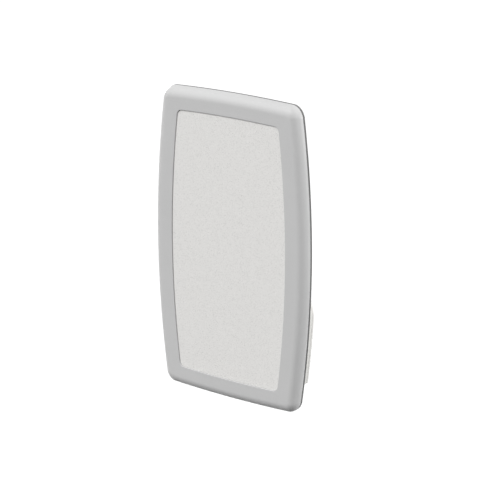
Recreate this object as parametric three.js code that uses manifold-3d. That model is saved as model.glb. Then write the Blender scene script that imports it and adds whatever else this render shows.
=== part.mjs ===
// Wall-mounted fold-down baby changing station, upright type, closed against its wall.
// Millimetres, +Z up. The wall is the plane y = 0 and the front faces -Y.
// The origin is the middle of the wall plate's back face.

import * as THREE from 'three';
import { mergeVertices } from 'three/addons/utils/BufferGeometryUtils.js';
import Module from 'manifold-3d';

const wasm = await Module();
wasm.setup();

// Shared clearances
const fit = 0.3;              // between pieces that touch
const running = 0.5;          // between pieces that slide or turn on each other

// Chassis on the wall
const chassisDepth = 48;
const chassisHeight = 350;
const chassisInset = 31;      // how far its sides lie inside the bed's edge
const chassisShoulder = 160;  // radius of its arched top corners
const chassisFoot = 6;        // radius of its bottom corners
const chassisLift = 6;        // its bottom lies this far above the hinge
const frameDepth = 7;
const frameWidth = 8;
const plateThickness = 3;
const coverWall = 3;
const coverDraft = 4;
const coverEdge = 10;         // round edge between the cover's sides and its face

// Bed, closed and upright
const bedHeight = 895;
const bedWidth = 520;         // widest, at mid height
const bedEndWidth = 455;
const bedCrown = 6;
const bedCorner = 33;
const bedGap = 4;             // between the chassis and the tray's rim
const shellDepth = 30;
const shellWall = 3.5;
const shoulderRadius = 29;
const lipRound = 0.8;

// Front panel in its recess
const openingBorder = 65;     // from the bed's widest edge
const openingEndBorder = 57;  // from the bed's edge at its ends
const openingMargin = 62.5;   // from the bed's top and bottom
const openingCrown = 4;
const openingCorner = 14;
const openingRound = 1.5;
const recess = 3;
const recessDraft = 0.6;
const panelThickness = 3.5;
const panelGap = 0.4;
const ledgeWidth = 12;
const ledgeThickness = 3.2;

// Edge seal and changing tray
const sealThickness = 8;
const sealInset = 0.3;
const sealWidth = 8;
const flangeThickness = 3.4;
const flangeInset = 6;
const trayBorder = 44;        // from the bed's edge to the tray's hollow
const trayCorner = 70;
const trayRimHeight = 10;
const trayRimWidth = 10;
const trayDepth = 34;
const traySlopeShare = 0.55;  // part of the hollow's half width that slopes
const trayCurve = 2.2;
const trayWall = 3.4;
const trayFootGap = 30;       // from the hinge to the hollow's lower end

// Hinges
const hingeInset = 2.5;       // the axis lies this far in front of the tray flange's back
const wallClearance = 4.5;    // between the open bed's tail and the wall
const hingeOffset = 49;       // from each crank in to its hinge
const pinRadius = 5;
const pinHead = 8;
const pinHeadThickness = 3;
const eyeRadius = 10;
const bracketWidth = 30;
const bracketThickness = 6;
const bracketHeight = 116;
const leafEyeWidth = 26;
const leafThickness = 5.7;
const beamDepth = 12;
const beamHeight = 36;
const beamWall = 2;
const beamInset = 27.5;       // from the bed's edge at its end
const beamDrop = 6;           // from the hinge down to the top of the beam
const ribThickness = 3;
const middleRib = 30;
const outerRibInset = 12;     // from the end of the beam

// Gas springs, each driven by a crank pin in a slotted yoke
const crankOffset = 17;       // from each gas spring in to its crank
const crankThickness = 6;
const crankThrow = 46;
const crankHub = 11;
const crankEnd = 8.5;
const crankPinRadius = 4;
const springShare = 0.33;     // share of the bed's width from the middle to each gas spring
const yokeThickness = 12;
const yokeWall = 4.2;
const yokeNeck = 13;
const yokePlay = 1.6;         // takes up the pin's path, which isn't quite even
const rodRadius = 4;
const rodLength = 151;
const cylinderRadius = 10;
const cylinderLength = 190;
const cylinderEnd = 10;
const clampWall = 3;
const clampLength = 16;
const clampFoot = 16;
const clampMargin = 22;

// Liner dispenser in the chassis
const flapWidth = 250;
const flapHeight = 52;
const flapTop = 60;
const flapThickness = 3;
const flapGap = 1.4;
const flapAxisDrop = 3;
const flapPinRadius = 1.5;
const flapPinLength = 4;
const flapLip = 4;
const flapEarWidth = 5;
const flapEarHeight = 10;
const flapEarDepth = 4;
const binMargin = 9;
const binDepth = 36;
const binWall = 2;
const linerHeight = 44;
const linerThickness = 26;

// Safety strap and cam buckle
const strapLift = 50;         // above the chassis
const strapWidth = 38;
const strapThickness = 1.6;
const strapSeat = 0.5;
const strapTail = 110;
const anchorInset = 50;       // from the hollow's edge
const anchorLength = 30;
const anchorWidth = 54;
const anchorThickness = 5;
const buckleLength = 44;
const buckleCheek = 3;
const buckleHeight = 15;
const buckleBase = 1.5;
const leverReach = 40;
const leverThickness = 3;
const camRadius = 5.4;
const camPinRadius = 2;

// Bag hooks, bumpers and screws
const hookRise = 0.56;        // share of the bed's half height
const hookInset = 22;
const hookLength = 36;
const hookHeight = 27;
const hookReach = 11;
const hookWall = 4;
const bumperInset = 31;       // from the hollow's edge
const bumperHeight = -40;
const bumperRadius = 9;
const bumperTip = 4;
const screwInset = 20;
const screwHead = 4.5;
const screwHeadHeight = 2.6;
const screwShank = 1.8;
const screwLength = 16;
const bossRadius = 5.5;
const sideScrews = [-0.65, -0.22, 0.29, 0.76]; // shares of the bed's half height
const topScrewShare = 0.4;    // share of the bed's half width at its end
const coverScrews = [[30, -140], [100, 108]];
const wallSlotPlace = 70;
const wallSlotHeight = 110;
const wallSlotRadius = 4.5;
const wallSlotLength = 24;

// Depths from the wall and heights that follow from the sizes above
const trayRim = chassisDepth + bedGap;
const flangeBack = trayRim + trayRimHeight;
const flangeFront = flangeBack + flangeThickness;
const sealBack = flangeFront + fit;
const sealFront = sealBack + sealThickness;
const shellBack = sealFront + fit;
const closedDepth = shellBack + shellDepth;
const trayFloor = trayRim + trayDepth;
const hingeDepth = flangeBack + hingeInset;
const chassisTop = chassisHeight / 2;
const chassisBottom = -chassisTop;
const hingeHeight = chassisBottom - chassisLift;
const bedBottom = hingeHeight - hingeDepth + wallClearance;
const bedTop = bedBottom + bedHeight;
const bedRise = (bedTop + bedBottom) / 2;
const hollowHalf = bedWidth / 2 - trayBorder;
const traySlope = hollowHalf * traySlopeShare;
const anchorPlace = hollowHalf - anchorInset;
const bumperPlace = hollowHalf - bumperInset;
const beamLength = bedEndWidth - 2 * beamInset;
const springPlace = bedWidth * springShare;
const crankPlace = springPlace - crankOffset;
const hingeSpread = crankPlace - hingeOffset;

// Materials
const finishes = {
  greyPlastic: { color: 0xbcbdbf, roughness: 0.55, metalness: 0 },
  specklePlastic: { color: 0xdadad8, roughness: 0.6, metalness: 0 },
  edgeRubber: { color: 0x5f6163, roughness: 0.8, metalness: 0 },
  darkRubber: { color: 0x2e2f31, roughness: 0.85, metalness: 0 },
  steel: { color: 0x9b9ea2, roughness: 0.4, metalness: 1 },
  blackSteel: { color: 0x26272a, roughness: 0.45, metalness: 0.6 },
  chrome: { color: 0xd8dadc, roughness: 0.15, metalness: 1 },
  webbing: { color: 0x3b3e44, roughness: 0.9, metalness: 0 },
  blackPlastic: { color: 0x232427, roughness: 0.5, metalness: 0 },
  paper: { color: 0xf1efe8, roughness: 0.95, metalness: 0 },
};

const station = new THREE.Group();
const chassis = new THREE.Group();
const bed = new THREE.Group();
station.add(chassis, bed);

function place(group, name, finish, geometry) {
  const mesh = new THREE.Mesh(geometry, new THREE.MeshStandardMaterial(finishes[finish]));
  mesh.name = name;
  group.add(mesh);
}

// Solids: joining and cutting

function solid(geometry) {
  const bare = geometry.clone();
  bare.deleteAttribute('normal');
  bare.deleteAttribute('uv');
  const merged = mergeVertices(bare, 1e-4);
  return new wasm.Manifold(new wasm.Mesh({
    numProp: 3,
    vertProperties: new Float32Array(merged.attributes.position.array),
    triVerts: new Uint32Array(merged.index.array),
  }));
}

function geometryOf(body) {
  const mesh = body.getMesh();
  const geometry = new THREE.BufferGeometry();
  geometry.setAttribute('position', new THREE.BufferAttribute(new Float32Array(mesh.vertProperties), 3));
  geometry.setIndex(new THREE.BufferAttribute(new Uint32Array(mesh.triVerts), 1));
  return geometry;
}

function join(first, ...others) {
  return geometryOf(others.reduce((body, next) => body.add(solid(next)), solid(first)));
}

function cut(first, ...others) {
  return geometryOf(others.reduce((body, next) => body.subtract(solid(next)), solid(first)));
}

function common(first, second) {
  return geometryOf(solid(first).intersect(solid(second)));
}

function volumeOf(geometry) {
  const flat = geometry.index ? geometry.toNonIndexed() : geometry;
  const corner = (i) => new THREE.Vector3().fromBufferAttribute(flat.attributes.position, i);
  let volume = 0;
  for (let i = 0; i < flat.attributes.position.count; i += 3) {
    volume += corner(i).dot(corner(i + 1).cross(corner(i + 2))) / 6;
  }
  return volume;
}

// Turns every face to point out of its solid
function outward(geometry) {
  if (volumeOf(geometry) > 0) return geometry;
  const flat = geometry.index ? geometry.toNonIndexed() : geometry;
  const from = flat.attributes.position;
  const positions = new Float32Array(from.array.length);
  for (let i = 0; i < from.count; i++) {
    const partner = i % 3 === 0 ? i : i - (i % 3) + (3 - (i % 3));
    positions.set([from.getX(i), from.getY(i), from.getZ(i)], partner * 3);
  }
  const turnedOut = new THREE.BufferGeometry();
  turnedOut.setAttribute('position', new THREE.BufferAttribute(positions, 3));
  return turnedOut;
}

// A box between two corners, each given as x, depth from the wall and height
function block([x0, depth0, z0], [x1, depth1, z1]) {
  const box = new THREE.BoxGeometry(Math.abs(x1 - x0), Math.abs(depth1 - depth0), Math.abs(z1 - z0));
  return box.translate((x0 + x1) / 2, -(depth0 + depth1) / 2, (z0 + z1) / 2);
}

// The same box on the left or the right, its x given outwards from the middle
function sideBlock(side, [x0, depth0, z0], [x1, depth1, z1]) {
  return block([side * x0, depth0, z0], [side * x1, depth1, z1]);
}

// A flat shape carried along a line: its own two axes and the way it is carried
function carried(shape, length, matrix) {
  const geometry = new THREE.ExtrudeGeometry(shape, { depth: length, bevelEnabled: false, curveSegments: 8 });
  return outward(geometry.applyMatrix4(matrix));
}

// A shape drawn in depth and height
function alongX(shape, x0, x1) {
  const start = Math.min(x0, x1);
  const matrix = new THREE.Matrix4().set(0, 0, 1, start, -1, 0, 0, 0, 0, 1, 0, 0, 0, 0, 0, 1);
  return carried(shape, Math.abs(x1 - x0), matrix);
}

// A shape drawn in x and height
function alongDepth(shape, depth0, depth1) {
  const matrix = new THREE.Matrix4().set(1, 0, 0, 0, 0, 0, -1, -depth0, 0, 1, 0, 0, 0, 0, 0, 1);
  return carried(shape, depth1 - depth0, matrix);
}

// A shape drawn in x and depth
function alongHeight(shape, z0, z1) {
  const matrix = new THREE.Matrix4().set(1, 0, 0, 0, 0, -1, 0, 0, 0, 0, 1, z0, 0, 0, 0, 1);
  return carried(shape, z1 - z0, matrix);
}

function outlined(points) {
  return new THREE.Shape(points.map(([x, y]) => new THREE.Vector2(x, y)));
}

function arcPoints(x, y, radius, from, to, steps) {
  return Array.from({ length: steps + 1 }, (_, i) => {
    const angle = from + (to - from) * (i / steps);
    return [x + radius * Math.cos(angle), y + radius * Math.sin(angle)];
  });
}

function disc(x, y, radius, steps = 16) {
  return outlined(arcPoints(x, y, radius, 0, Math.PI * 2, steps).slice(1));
}

function rounded(x0, x1, y0, y1, radius) {
  const [left, right] = [x0 + radius, x1 - radius];
  const [low, high] = [y0 + radius, y1 - radius];
  const corners = [[right, high], [left, high], [left, low], [right, low]];
  return outlined(corners.flatMap(([x, y], i) => {
    const from = (Math.PI / 2) * i;
    return arcPoints(x, y, radius, from, from + Math.PI / 2, 3);
  }));
}

// A turned piece from radius and distance along its axis
function turned(points, segments, turn) {
  const lathe = new THREE.LatheGeometry(points.map(([r, along]) => new THREE.Vector2(r, along)), segments);
  return outward(lathe.applyMatrix4(turn));
}

const towardsFront = new THREE.Matrix4().makeRotationX(Math.PI);
const upwards = new THREE.Matrix4().makeRotationX(Math.PI / 2);
const sideways = new THREE.Matrix4().makeRotationZ(-Math.PI / 2);

// Outlines: a rounded rectangle whose sides bow out and whose ends are crowned

function bowed(middle, end, height) {
  return (z) => (middle - (middle - end) * ((z - bedRise) / (height / 2)) ** 2) / 2;
}

const bedHalf = bowed(bedWidth, bedEndWidth, bedHeight);

const bedEdge = {
  bottom: bedBottom,
  top: bedTop,
  half: bedHalf,
  crown: bedCrown,
  topRadius: bedCorner,
  bottomRadius: bedCorner,
};

const openingEdge = {
  bottom: bedBottom + openingMargin,
  top: bedTop - openingMargin,
  half: bowed(
    bedWidth - 2 * openingBorder, bedEndWidth - 2 * openingEndBorder, bedHeight - 2 * openingMargin,
  ),
  crown: openingCrown,
  topRadius: openingCorner,
  bottomRadius: openingCorner,
};

const chassisEdge = {
  bottom: chassisBottom,
  top: chassisTop,
  half: (z) => bedHalf(z) - chassisInset,
  crown: 0,
  topRadius: chassisShoulder,
  bottomRadius: chassisFoot,
};

// The hollow keeps its corner radius as it narrows, so that its slope stays smooth
function hollowEdge(inset) {
  return {
    bottom: hingeHeight + trayFootGap,
    top: bedTop - trayBorder,
    half: (z) => bedHalf(z) - trayBorder,
    crown: bedCrown,
    topRadius: trayCorner + inset,
    bottomRadius: trayCorner + inset,
  };
}

const cornerSteps = 6;
const sideSteps = 10;
const endSteps = 8;

// One loop of points round an outline, drawn in by inset and set at a depth
function ring(edge, inset, depth) {
  const middle = (edge.top + edge.bottom) / 2;
  const reach = (edge.top - edge.bottom) / 2 - inset;
  const across = edge.half(middle) - inset;
  const upper = Math.max(edge.topRadius - inset, 1);
  const lower = Math.max(edge.bottomRadius - inset, 1);
  const points = [];
  const corner = (x, z, radius, from) => {
    for (let i = 0; i <= cornerSteps; i++) {
      const angle = from + (Math.PI / 2) * (i / cornerSteps);
      points.push([x + radius * Math.cos(angle), z + radius * Math.sin(angle)]);
    }
  };
  const line = (x0, z0, x1, z1, count) => {
    for (let i = 1; i < count; i++) {
      points.push([x0 + (x1 - x0) * (i / count), z0 + (z1 - z0) * (i / count)]);
    }
  };
  corner(across - upper, reach - upper, upper, 0);
  line(across - upper, reach, upper - across, reach, endSteps);
  corner(upper - across, reach - upper, upper, Math.PI / 2);
  line(-across, reach - upper, -across, lower - reach, sideSteps);
  corner(lower - across, lower - reach, lower, Math.PI);
  line(lower - across, -reach, across - lower, -reach, endSteps);
  corner(across - lower, lower - reach, lower, Math.PI * 1.5);
  line(across, lower - reach, across, reach - upper, sideSteps);
  return points.map(([u, v]) => {
    const z = middle + v;
    const x = u * ((edge.half(z) - inset) / across);
    const drop = edge.crown * (u / across) ** 2 * (v / reach);
    return new THREE.Vector3(x, -depth, z - drop);
  });
}

// Skin over a row of loops, closed round on itself or with a flat cap on each end
function loft(loops, closed = false) {
  const count = loops[0].length;
  const faces = [];
  const spans = closed ? loops.length : loops.length - 1;
  for (let span = 0; span < spans; span++) {
    const here = span * count;
    const next = ((span + 1) % loops.length) * count;
    for (let i = 0; i < count; i++) {
      const j = (i + 1) % count;
      faces.push(here + i, here + j, next + j, here + i, next + j, next + i);
    }
  }
  const upright = loops[0].every((point) => Math.abs(point.y - loops[0][0].y) < fit / 100);
  const cap = (loop, base, ahead) => {
    const flat = loop.map((point) => new THREE.Vector2(upright ? point.x : point.y, point.z));
    const kept = (THREE.ShapeUtils.area(flat) > 0) === ahead;
    THREE.ShapeUtils.triangulateShape(flat, []).forEach(([a, b, c]) => {
      faces.push(base + a, base + (kept ? b : c), base + (kept ? c : b));
    });
  };
  if (!closed) {
    cap(loops[0], 0, false);
    cap(loops[loops.length - 1], (loops.length - 1) * count, true);
  }
  const geometry = new THREE.BufferGeometry();
  const positions = loops.flat().flatMap((point) => point.toArray());
  geometry.setAttribute('position', new THREE.Float32BufferAttribute(positions, 3));
  geometry.setIndex(faces);
  return outward(geometry);
}

// A quarter circle of inset and depth, from the side round to the front
function quarter(radius, inset, depth, steps) {
  return Array.from({ length: steps + 1 }, (_, i) => {
    const angle = (Math.PI / 2) * (i / steps);
    return [inset - radius * Math.cos(angle), depth + radius * Math.sin(angle)];
  });
}

const bothSides = [['left', -1], ['right', 1]];

// Bed: outer shell with its shoulder, its panel recess and ledge, screw bosses and beam ribs

const ledgeFront = closedDepth - recess - panelThickness - fit;
const ledgeBack = ledgeFront - ledgeThickness;
const shoulderStart = closedDepth - shoulderRadius;
const beamBack = hingeDepth + eyeRadius + fit;
const beamTop = hingeHeight - beamDrop;
const beamBottom = beamTop - beamHeight;
const legBottom = chassisBottom + coverWall + running;
const legTop = legBottom + bracketThickness;

function beamOutline(grow) {
  return rounded(
    beamBack - grow, beamBack + beamDepth + grow, beamBottom - grow, beamTop + grow, beamWall,
  );
}

function trayScrews() {
  const sides = sideScrews.flatMap((share) => {
    const z = bedRise + (share * bedHeight) / 2;
    return [[screwInset - bedHalf(z), z], [bedHalf(z) - screwInset, z]];
  });
  const top = bedTop - screwInset - bedCrown * topScrewShare ** 2;
  const across = topScrewShare * bedHalf(bedTop);
  return [...sides, [-across, top], [across, top]];
}

function bedShell() {
  const innerRadius = shoulderRadius - shellWall;
  const skin = loft([
    ring(bedEdge, lipRound, shellBack),
    ring(bedEdge, 0, shellBack + lipRound),
    ...quarter(shoulderRadius, shoulderRadius, shoulderStart, 6).slice(1)
      .map(([i, d]) => ring(bedEdge, i, d)),
    ring(openingEdge, -openingRound, closedDepth),
    ring(openingEdge, openingRound * (Math.SQRT1_2 - 1), closedDepth - openingRound * (1 - Math.SQRT1_2)),
    ring(openingEdge, 0, closedDepth - openingRound),
    ring(openingEdge, recessDraft, ledgeFront),
    ring(openingEdge, ledgeWidth, ledgeFront),
    ring(openingEdge, ledgeWidth, ledgeBack),
    ring(openingEdge, -shellWall, ledgeBack),
    ring(openingEdge, -shellWall, closedDepth - shellWall),
    ...quarter(innerRadius, shoulderRadius, shoulderStart, 4).reverse().map(([i, d]) => ring(bedEdge, i, d)),
    ring(bedEdge, shellWall, shellBack),
  ], true);
  const core = loft([
    ring(bedEdge, shellWall / 2, sealBack),
    ...quarter(shoulderRadius - shellWall / 2, shoulderRadius, shoulderStart, 5)
      .map(([i, d]) => ring(bedEdge, i, d)),
  ]);
  const bosses = trayScrews().map(([x, z]) => alongDepth(
    disc(x, z, bossRadius, 12), flangeFront + fit, closedDepth,
  ));
  const outerRib = beamLength / 2 - outerRibInset;
  const ribs = [-outerRib, -middleRib, middleRib, outerRib].map((x) => block(
    [x - ribThickness / 2, shellBack + fit, bedBottom],
    [x + ribThickness / 2, closedDepth, openingEdge.bottom - shellWall / 2],
  ));
  const inside = [...bosses, ...ribs].map((piece) => common(piece, core));
  const pilots = trayScrews().map(([x, z]) => alongDepth(
    disc(x, z, screwShank + fit, 10), flangeFront, flangeBack + screwLength + fit,
  ));
  const beamSpace = alongX(beamOutline(fit), -beamLength / 2 - fit, beamLength / 2 + fit);
  return cut(join(skin, ...inside), ...pilots, beamSpace);
}

function frontPanel() {
  const front = closedDepth - recess;
  const edge = recessDraft + panelGap;
  return loft([
    ring(openingEdge, edge, ledgeFront + fit),
    ring(openingEdge, edge, front - lipRound),
    ring(openingEdge, edge + lipRound, front),
  ]);
}

function bedSeal() {
  const inner = sealInset + sealWidth;
  return loft([
    ring(bedEdge, sealInset, sealBack),
    ring(bedEdge, sealInset, sealFront),
    ring(bedEdge, inner, sealFront),
    ring(bedEdge, inner, sealBack),
  ], true);
}

// Changing tray: flat flange, raised rim and smooth hollow, with slots for the hinges and cranks

const hollowStations = [0, 0.035, 0.1, 0.2, 0.33, 0.5, 0.72, 1].map((share) => share * traySlope);

function hollowCurve(inset) {
  return trayFloor - trayDepth * (1 - inset / traySlope) ** trayCurve;
}

// Depth of the hollow at a place on its long sides, in straight facets as the tray is made
function hollowDepth(x, z) {
  const inset = Math.min(bedHalf(z) - trayBorder - Math.abs(x), traySlope);
  const next = Math.max(1, hollowStations.findIndex((station) => station >= inset));
  const [near, far] = [hollowStations[next - 1], hollowStations[next]];
  const share = (inset - near) / (far - near);
  return hollowCurve(near) * (1 - share) + hollowCurve(far) * share;
}

const leafWidth = bracketWidth + 2 * (running + leafEyeWidth);

function changingTray() {
  const hollow = (inset, depth) => ring(hollowEdge(inset), inset, depth);
  const slopes = hollowStations.slice(1);
  const tray = loft([
    ...slopes.toReversed().map((inset) => hollow(inset, hollowCurve(inset))),
    hollow(0, trayRim + trayWall / 8),
    hollow(-trayRimWidth * 0.3, trayRim),
    hollow(-trayRimWidth * 0.6, trayRim + trayWall / 6),
    hollow(-trayRimWidth * 0.8, trayRim + trayWall * 0.6),
    hollow(-trayRimWidth, flangeBack),
    ring(bedEdge, flangeInset, flangeBack),
    ring(bedEdge, flangeInset, flangeFront),
    hollow(trayWall - trayRimWidth, flangeFront),
    hollow(trayWall - trayRimWidth * 0.8, trayRim + trayWall * 1.6),
    hollow(-trayRimWidth * 0.2, trayRim + trayWall),
    ...slopes.map((inset) => hollow(inset, hollowCurve(inset) + trayWall)),
  ]);
  const through = [flangeBack - fit, flangeFront + fit];
  const leafSlot = hingeSpread - leafWidth / 2 - running * 2;
  const crankSlot = crankThickness / 2 + running * 2;
  const slots = bothSides.flatMap(([, side]) => [
    sideBlock(
      side,
      [leafSlot, through[0], hingeHeight - eyeRadius * 1.6 - running],
      [crankPlace, through[1], legTop + running * 2],
    ),
    sideBlock(
      side,
      [crankPlace - crankSlot, through[0], hingeHeight - crankHub * 2],
      [crankPlace + crankSlot, through[1], hingeHeight + crankHub + running * 3],
    ),
  ]);
  const holes = trayScrews().map(([x, z]) => alongDepth(disc(x, z, screwShank + fit, 10), ...through));
  return cut(tray, ...slots, ...holes);
}

// A pan-head screw, its head on the wall side of a seat or, turned round, on the front side
function screw(x, z, seat, facing) {
  const profile = [
    [0, -screwHeadHeight],
    [screwHead * 0.6, -screwHeadHeight * 0.9],
    [screwHead, -screwHeadHeight * 0.3],
    [screwHead, 0],
    [screwShank, 0],
    [screwShank, screwLength - screwShank],
    [0, screwLength],
  ].map(([r, along]) => [r, along * facing]);
  return turned(profile, 10, towardsFront).translate(x, -(seat - fit * facing), z);
}

// A cleat on the flange: bag handles loop round it when the bed is down
function bagHook(side) {
  const z = bedRise + (hookRise * bedHeight) / 2;
  const foot = flangeBack - fit;
  const head = foot - hookHeight;
  const out = bedHalf(z) - hookInset;
  const outline = [
    [0, foot], [0, head + hookWall], [hookWall * 0.4, head + hookWall * 0.4], [hookWall, head],
    [hookReach - hookWall / 4, head], [hookReach, head + hookWall / 4], [hookReach, head + hookWall * 1.5],
    [hookReach - hookWall * 0.6, head + hookWall * 1.5], [hookReach - hookWall * 0.8, head + hookWall],
    [hookWall * 1.5, head + hookWall], [hookWall, head + hookWall * 1.5], [hookWall, foot - hookWall],
    [hookWall * 1.5, foot - hookWall * 0.6], [hookReach, foot - hookWall * 0.5], [hookReach, foot],
  ].map(([inwards, depth]) => [side * (out - inwards), depth]);
  return alongHeight(outlined(outline), z - hookLength / 2, z + hookLength / 2);
}

place(bed, 'bed_shell', 'greyPlastic', bedShell());
place(bed, 'front_panel', 'specklePlastic', frontPanel());
place(bed, 'bed_seal', 'edgeRubber', bedSeal());
place(bed, 'changing_tray', 'specklePlastic', changingTray());
trayScrews().forEach(([x, z], i) => {
  place(bed, `tray_screw_${i + 1}`, 'chrome', screw(x, z, flangeBack, 1));
});
bothSides.forEach(([name, side]) => place(bed, `bag_hook_${name}`, 'greyPlastic', bagHook(side)));

// Safety strap: a short half held by the buckle and a long half that runs through it

const strapHeight = chassisTop + strapLift;
const strapEnd = anchorPlace - anchorLength / 2 - fit;
const floorHalf = bedHalf(strapHeight) - trayBorder - traySlope;
const buckleSeat = trayFloor - fit;
const strapInBuckle = buckleSeat - buckleBase - fit - strapThickness / 2;

// Webbing carried along a path of x and depth
function strap(path) {
  const loops = path.map(([x, depth]) => {
    const [z0, z1] = [strapHeight - strapWidth / 2, strapHeight + strapWidth / 2];
    const [back, front] = [depth - strapThickness / 2, depth + strapThickness / 2];
    return [[front, z0], [front, z1], [back, z1], [back, z0]].map(([d, z]) => new THREE.Vector3(x, -d, z));
  });
  return loft(loops);
}

// The path over the tray from an anchor to a place on its flat floor
function strapOverTray(side, last) {
  const sloping = hollowStations
    .map((inset) => bedHalf(strapHeight) - trayBorder - inset)
    .filter((x) => x < strapEnd - 1 && x > last + 1);
  return [strapEnd, ...sloping, last].map((x) => [
    side * x, hollowDepth(x, strapHeight) - strapSeat - strapThickness / 2,
  ]);
}

function strapAnchor(side) {
  const edge = anchorThickness * 0.4;
  const [near, far] = [anchorPlace - anchorLength / 2, anchorPlace + anchorLength / 2];
  const seat = (x) => hollowDepth(x, strapHeight) - strapSeat;
  const outline = [
    [near, seat(near)],
    [near, seat(near) - anchorThickness + edge],
    [near + edge, seat(near + edge) - anchorThickness],
    [far - edge, seat(far - edge) - anchorThickness],
    [far, seat(far) - anchorThickness + edge],
    [far, seat(far)],
    ...hollowStations.map((inset) => bedHalf(strapHeight) - trayBorder - inset)
      .filter((x) => x > near && x < far).map((x) => [x, seat(x)]),
  ].map(([x, depth]) => [side * x, depth]);
  return alongHeight(outlined(outline), strapHeight - anchorWidth / 2, strapHeight + anchorWidth / 2);
}

const camPlace = -buckleLength / 5;
const camDepth = strapInBuckle - strapThickness / 2 - fit - camRadius;
const cheekInside = strapWidth / 2 + running;

function buckleFrame() {
  const half = buckleLength / 2;
  const cheek = rounded(-half, half, buckleSeat - buckleHeight, buckleSeat, buckleCheek);
  cheek.holes.push(disc(camPlace, camDepth, camPinRadius + fit));
  const outside = cheekInside + buckleCheek;
  return join(
    block([-half, buckleSeat - buckleBase, strapHeight - outside], [half, buckleSeat, strapHeight + outside]),
    alongHeight(cheek, strapHeight + cheekInside, strapHeight + outside),
    alongHeight(cheek, strapHeight - outside, strapHeight - cheekInside),
  );
}

function buckleLever() {
  const half = cheekInside - running;
  const tip = camPlace + leverReach;
  const body = new THREE.Shape();
  const leave = Math.asin(leverThickness / 2 / camRadius);
  body.absarc(camPlace, camDepth, camRadius, leave, Math.PI * 2 - leave);
  body.lineTo(tip - leverThickness * 2, camDepth - leverThickness / 2);
  body.lineTo(tip, camDepth - leverThickness);
  body.lineTo(tip, camDepth);
  body.lineTo(tip - leverThickness * 2, camDepth + leverThickness / 2);
  body.holes.push(disc(camPlace, camDepth, camPinRadius + fit));
  return alongHeight(body, strapHeight - half, strapHeight + half);
}

function bucklePin() {
  const half = cheekInside + buckleCheek;
  const pin = turned([[0, -half], [camPinRadius, -half], [camPinRadius, half], [0, half]], 12, upwards);
  return pin.translate(camPlace, -camDepth, strapHeight);
}

const shortHalf = strapOverTray(-1, buckleLength / 2 + fit);
const longHalf = [
  ...strapOverTray(1, buckleLength),
  [buckleLength / 2, strapInBuckle],
  [-buckleLength / 2, strapInBuckle],
  ...[buckleLength / 2 + strapThickness, floorHalf, strapTail].map((x) => [
    -x, hollowDepth(x, strapHeight) - strapSeat - strapThickness * 1.5 - fit,
  ]),
];
place(bed, 'strap_left', 'webbing', strap(shortHalf));
place(bed, 'strap_right', 'webbing', strap(longHalf));
bothSides.forEach(([name, side]) => place(bed, `strap_anchor_${name}`, 'blackPlastic', strapAnchor(side)));
place(bed, 'buckle_frame', 'blackPlastic', buckleFrame());
place(bed, 'buckle_lever', 'greyPlastic', buckleLever());
place(bed, 'buckle_pin', 'chrome', bucklePin());

// Hinges: a beam across the bed, forked leaves on the bed and brackets on the wall plate

const pinHole = disc(hingeDepth, hingeHeight, pinRadius + fit);
const plateFront = plateThickness + fit;

function hingeBeam() {
  const tube = beamOutline(0);
  tube.holes.push(rounded(
    beamBack + beamWall, beamBack + beamDepth - beamWall,
    beamBottom + beamWall, beamTop - beamWall, beamWall / 2,
  ));
  return alongX(tube, -beamLength / 2, beamLength / 2);
}

function hingeLeaf(side) {
  const front = beamBack - fit;
  const eye = new THREE.Shape();
  eye.absarc(hingeDepth, hingeHeight, eyeRadius, 0, Math.PI * 2 - Math.acos(1 - leafThickness / eyeRadius));
  eye.lineTo(front - leafThickness, beamBottom);
  eye.lineTo(front, beamBottom);
  eye.holes.push(pinHole);
  const near = bracketWidth / 2 + running;
  const far = leafWidth / 2;
  return join(
    alongX(eye, side * (hingeSpread - far), side * (hingeSpread - near)),
    alongX(eye, side * (hingeSpread + near), side * (hingeSpread + far)),
    sideBlock(
      side,
      [hingeSpread - near - running, front - leafThickness, beamBottom],
      [hingeSpread + near + running, front, hingeHeight - eyeRadius - running * 3],
    ),
  );
}

function hingeBracket(side) {
  const gusset = bracketThickness * 3.5;
  const inside = plateFront + bracketThickness;
  const frameTop = chassisBottom + frameWidth + fit;
  const shape = new THREE.Shape();
  shape.moveTo(frameDepth + fit, legBottom);
  shape.lineTo(frameDepth + fit, frameTop);
  shape.lineTo(plateFront, frameTop);
  shape.lineTo(plateFront, legBottom + bracketHeight);
  shape.lineTo(inside, legBottom + bracketHeight);
  shape.lineTo(inside, legTop + gusset);
  shape.lineTo(inside + gusset, legTop);
  shape.lineTo(hingeDepth - eyeRadius * 0.8, legTop);
  shape.absarc(hingeDepth, hingeHeight, eyeRadius, Math.PI / 2, -Math.PI, true);
  shape.lineTo(hingeDepth - eyeRadius * 1.6, legBottom);
  shape.holes.push(pinHole);
  return alongX(shape, side * (hingeSpread - bracketWidth / 2), side * (hingeSpread + bracketWidth / 2));
}

function hingePin(side) {
  const half = leafWidth / 2 + fit;
  const pin = turned([
    [0, -half], [pinRadius - fit, -half], [pinRadius, -half + fit], [pinRadius, half],
    [pinHead, half], [pinHead, half + pinHeadThickness], [0, half + pinHeadThickness],
  ].map(([r, along]) => [r, along * side]), 16, sideways);
  return pin.translate(side * hingeSpread, -hingeDepth, hingeHeight);
}

place(bed, 'hinge_beam', 'steel', hingeBeam());
bothSides.forEach(([name, side]) => {
  place(bed, `hinge_leaf_${name}`, 'steel', hingeLeaf(side));
  place(chassis, `hinge_bracket_${name}`, 'steel', hingeBracket(side));
  place(chassis, `hinge_pin_${name}`, 'chrome', hingePin(side));
});

// Gas springs: the crank on the bed lifts the yoke as the bed comes down

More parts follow.
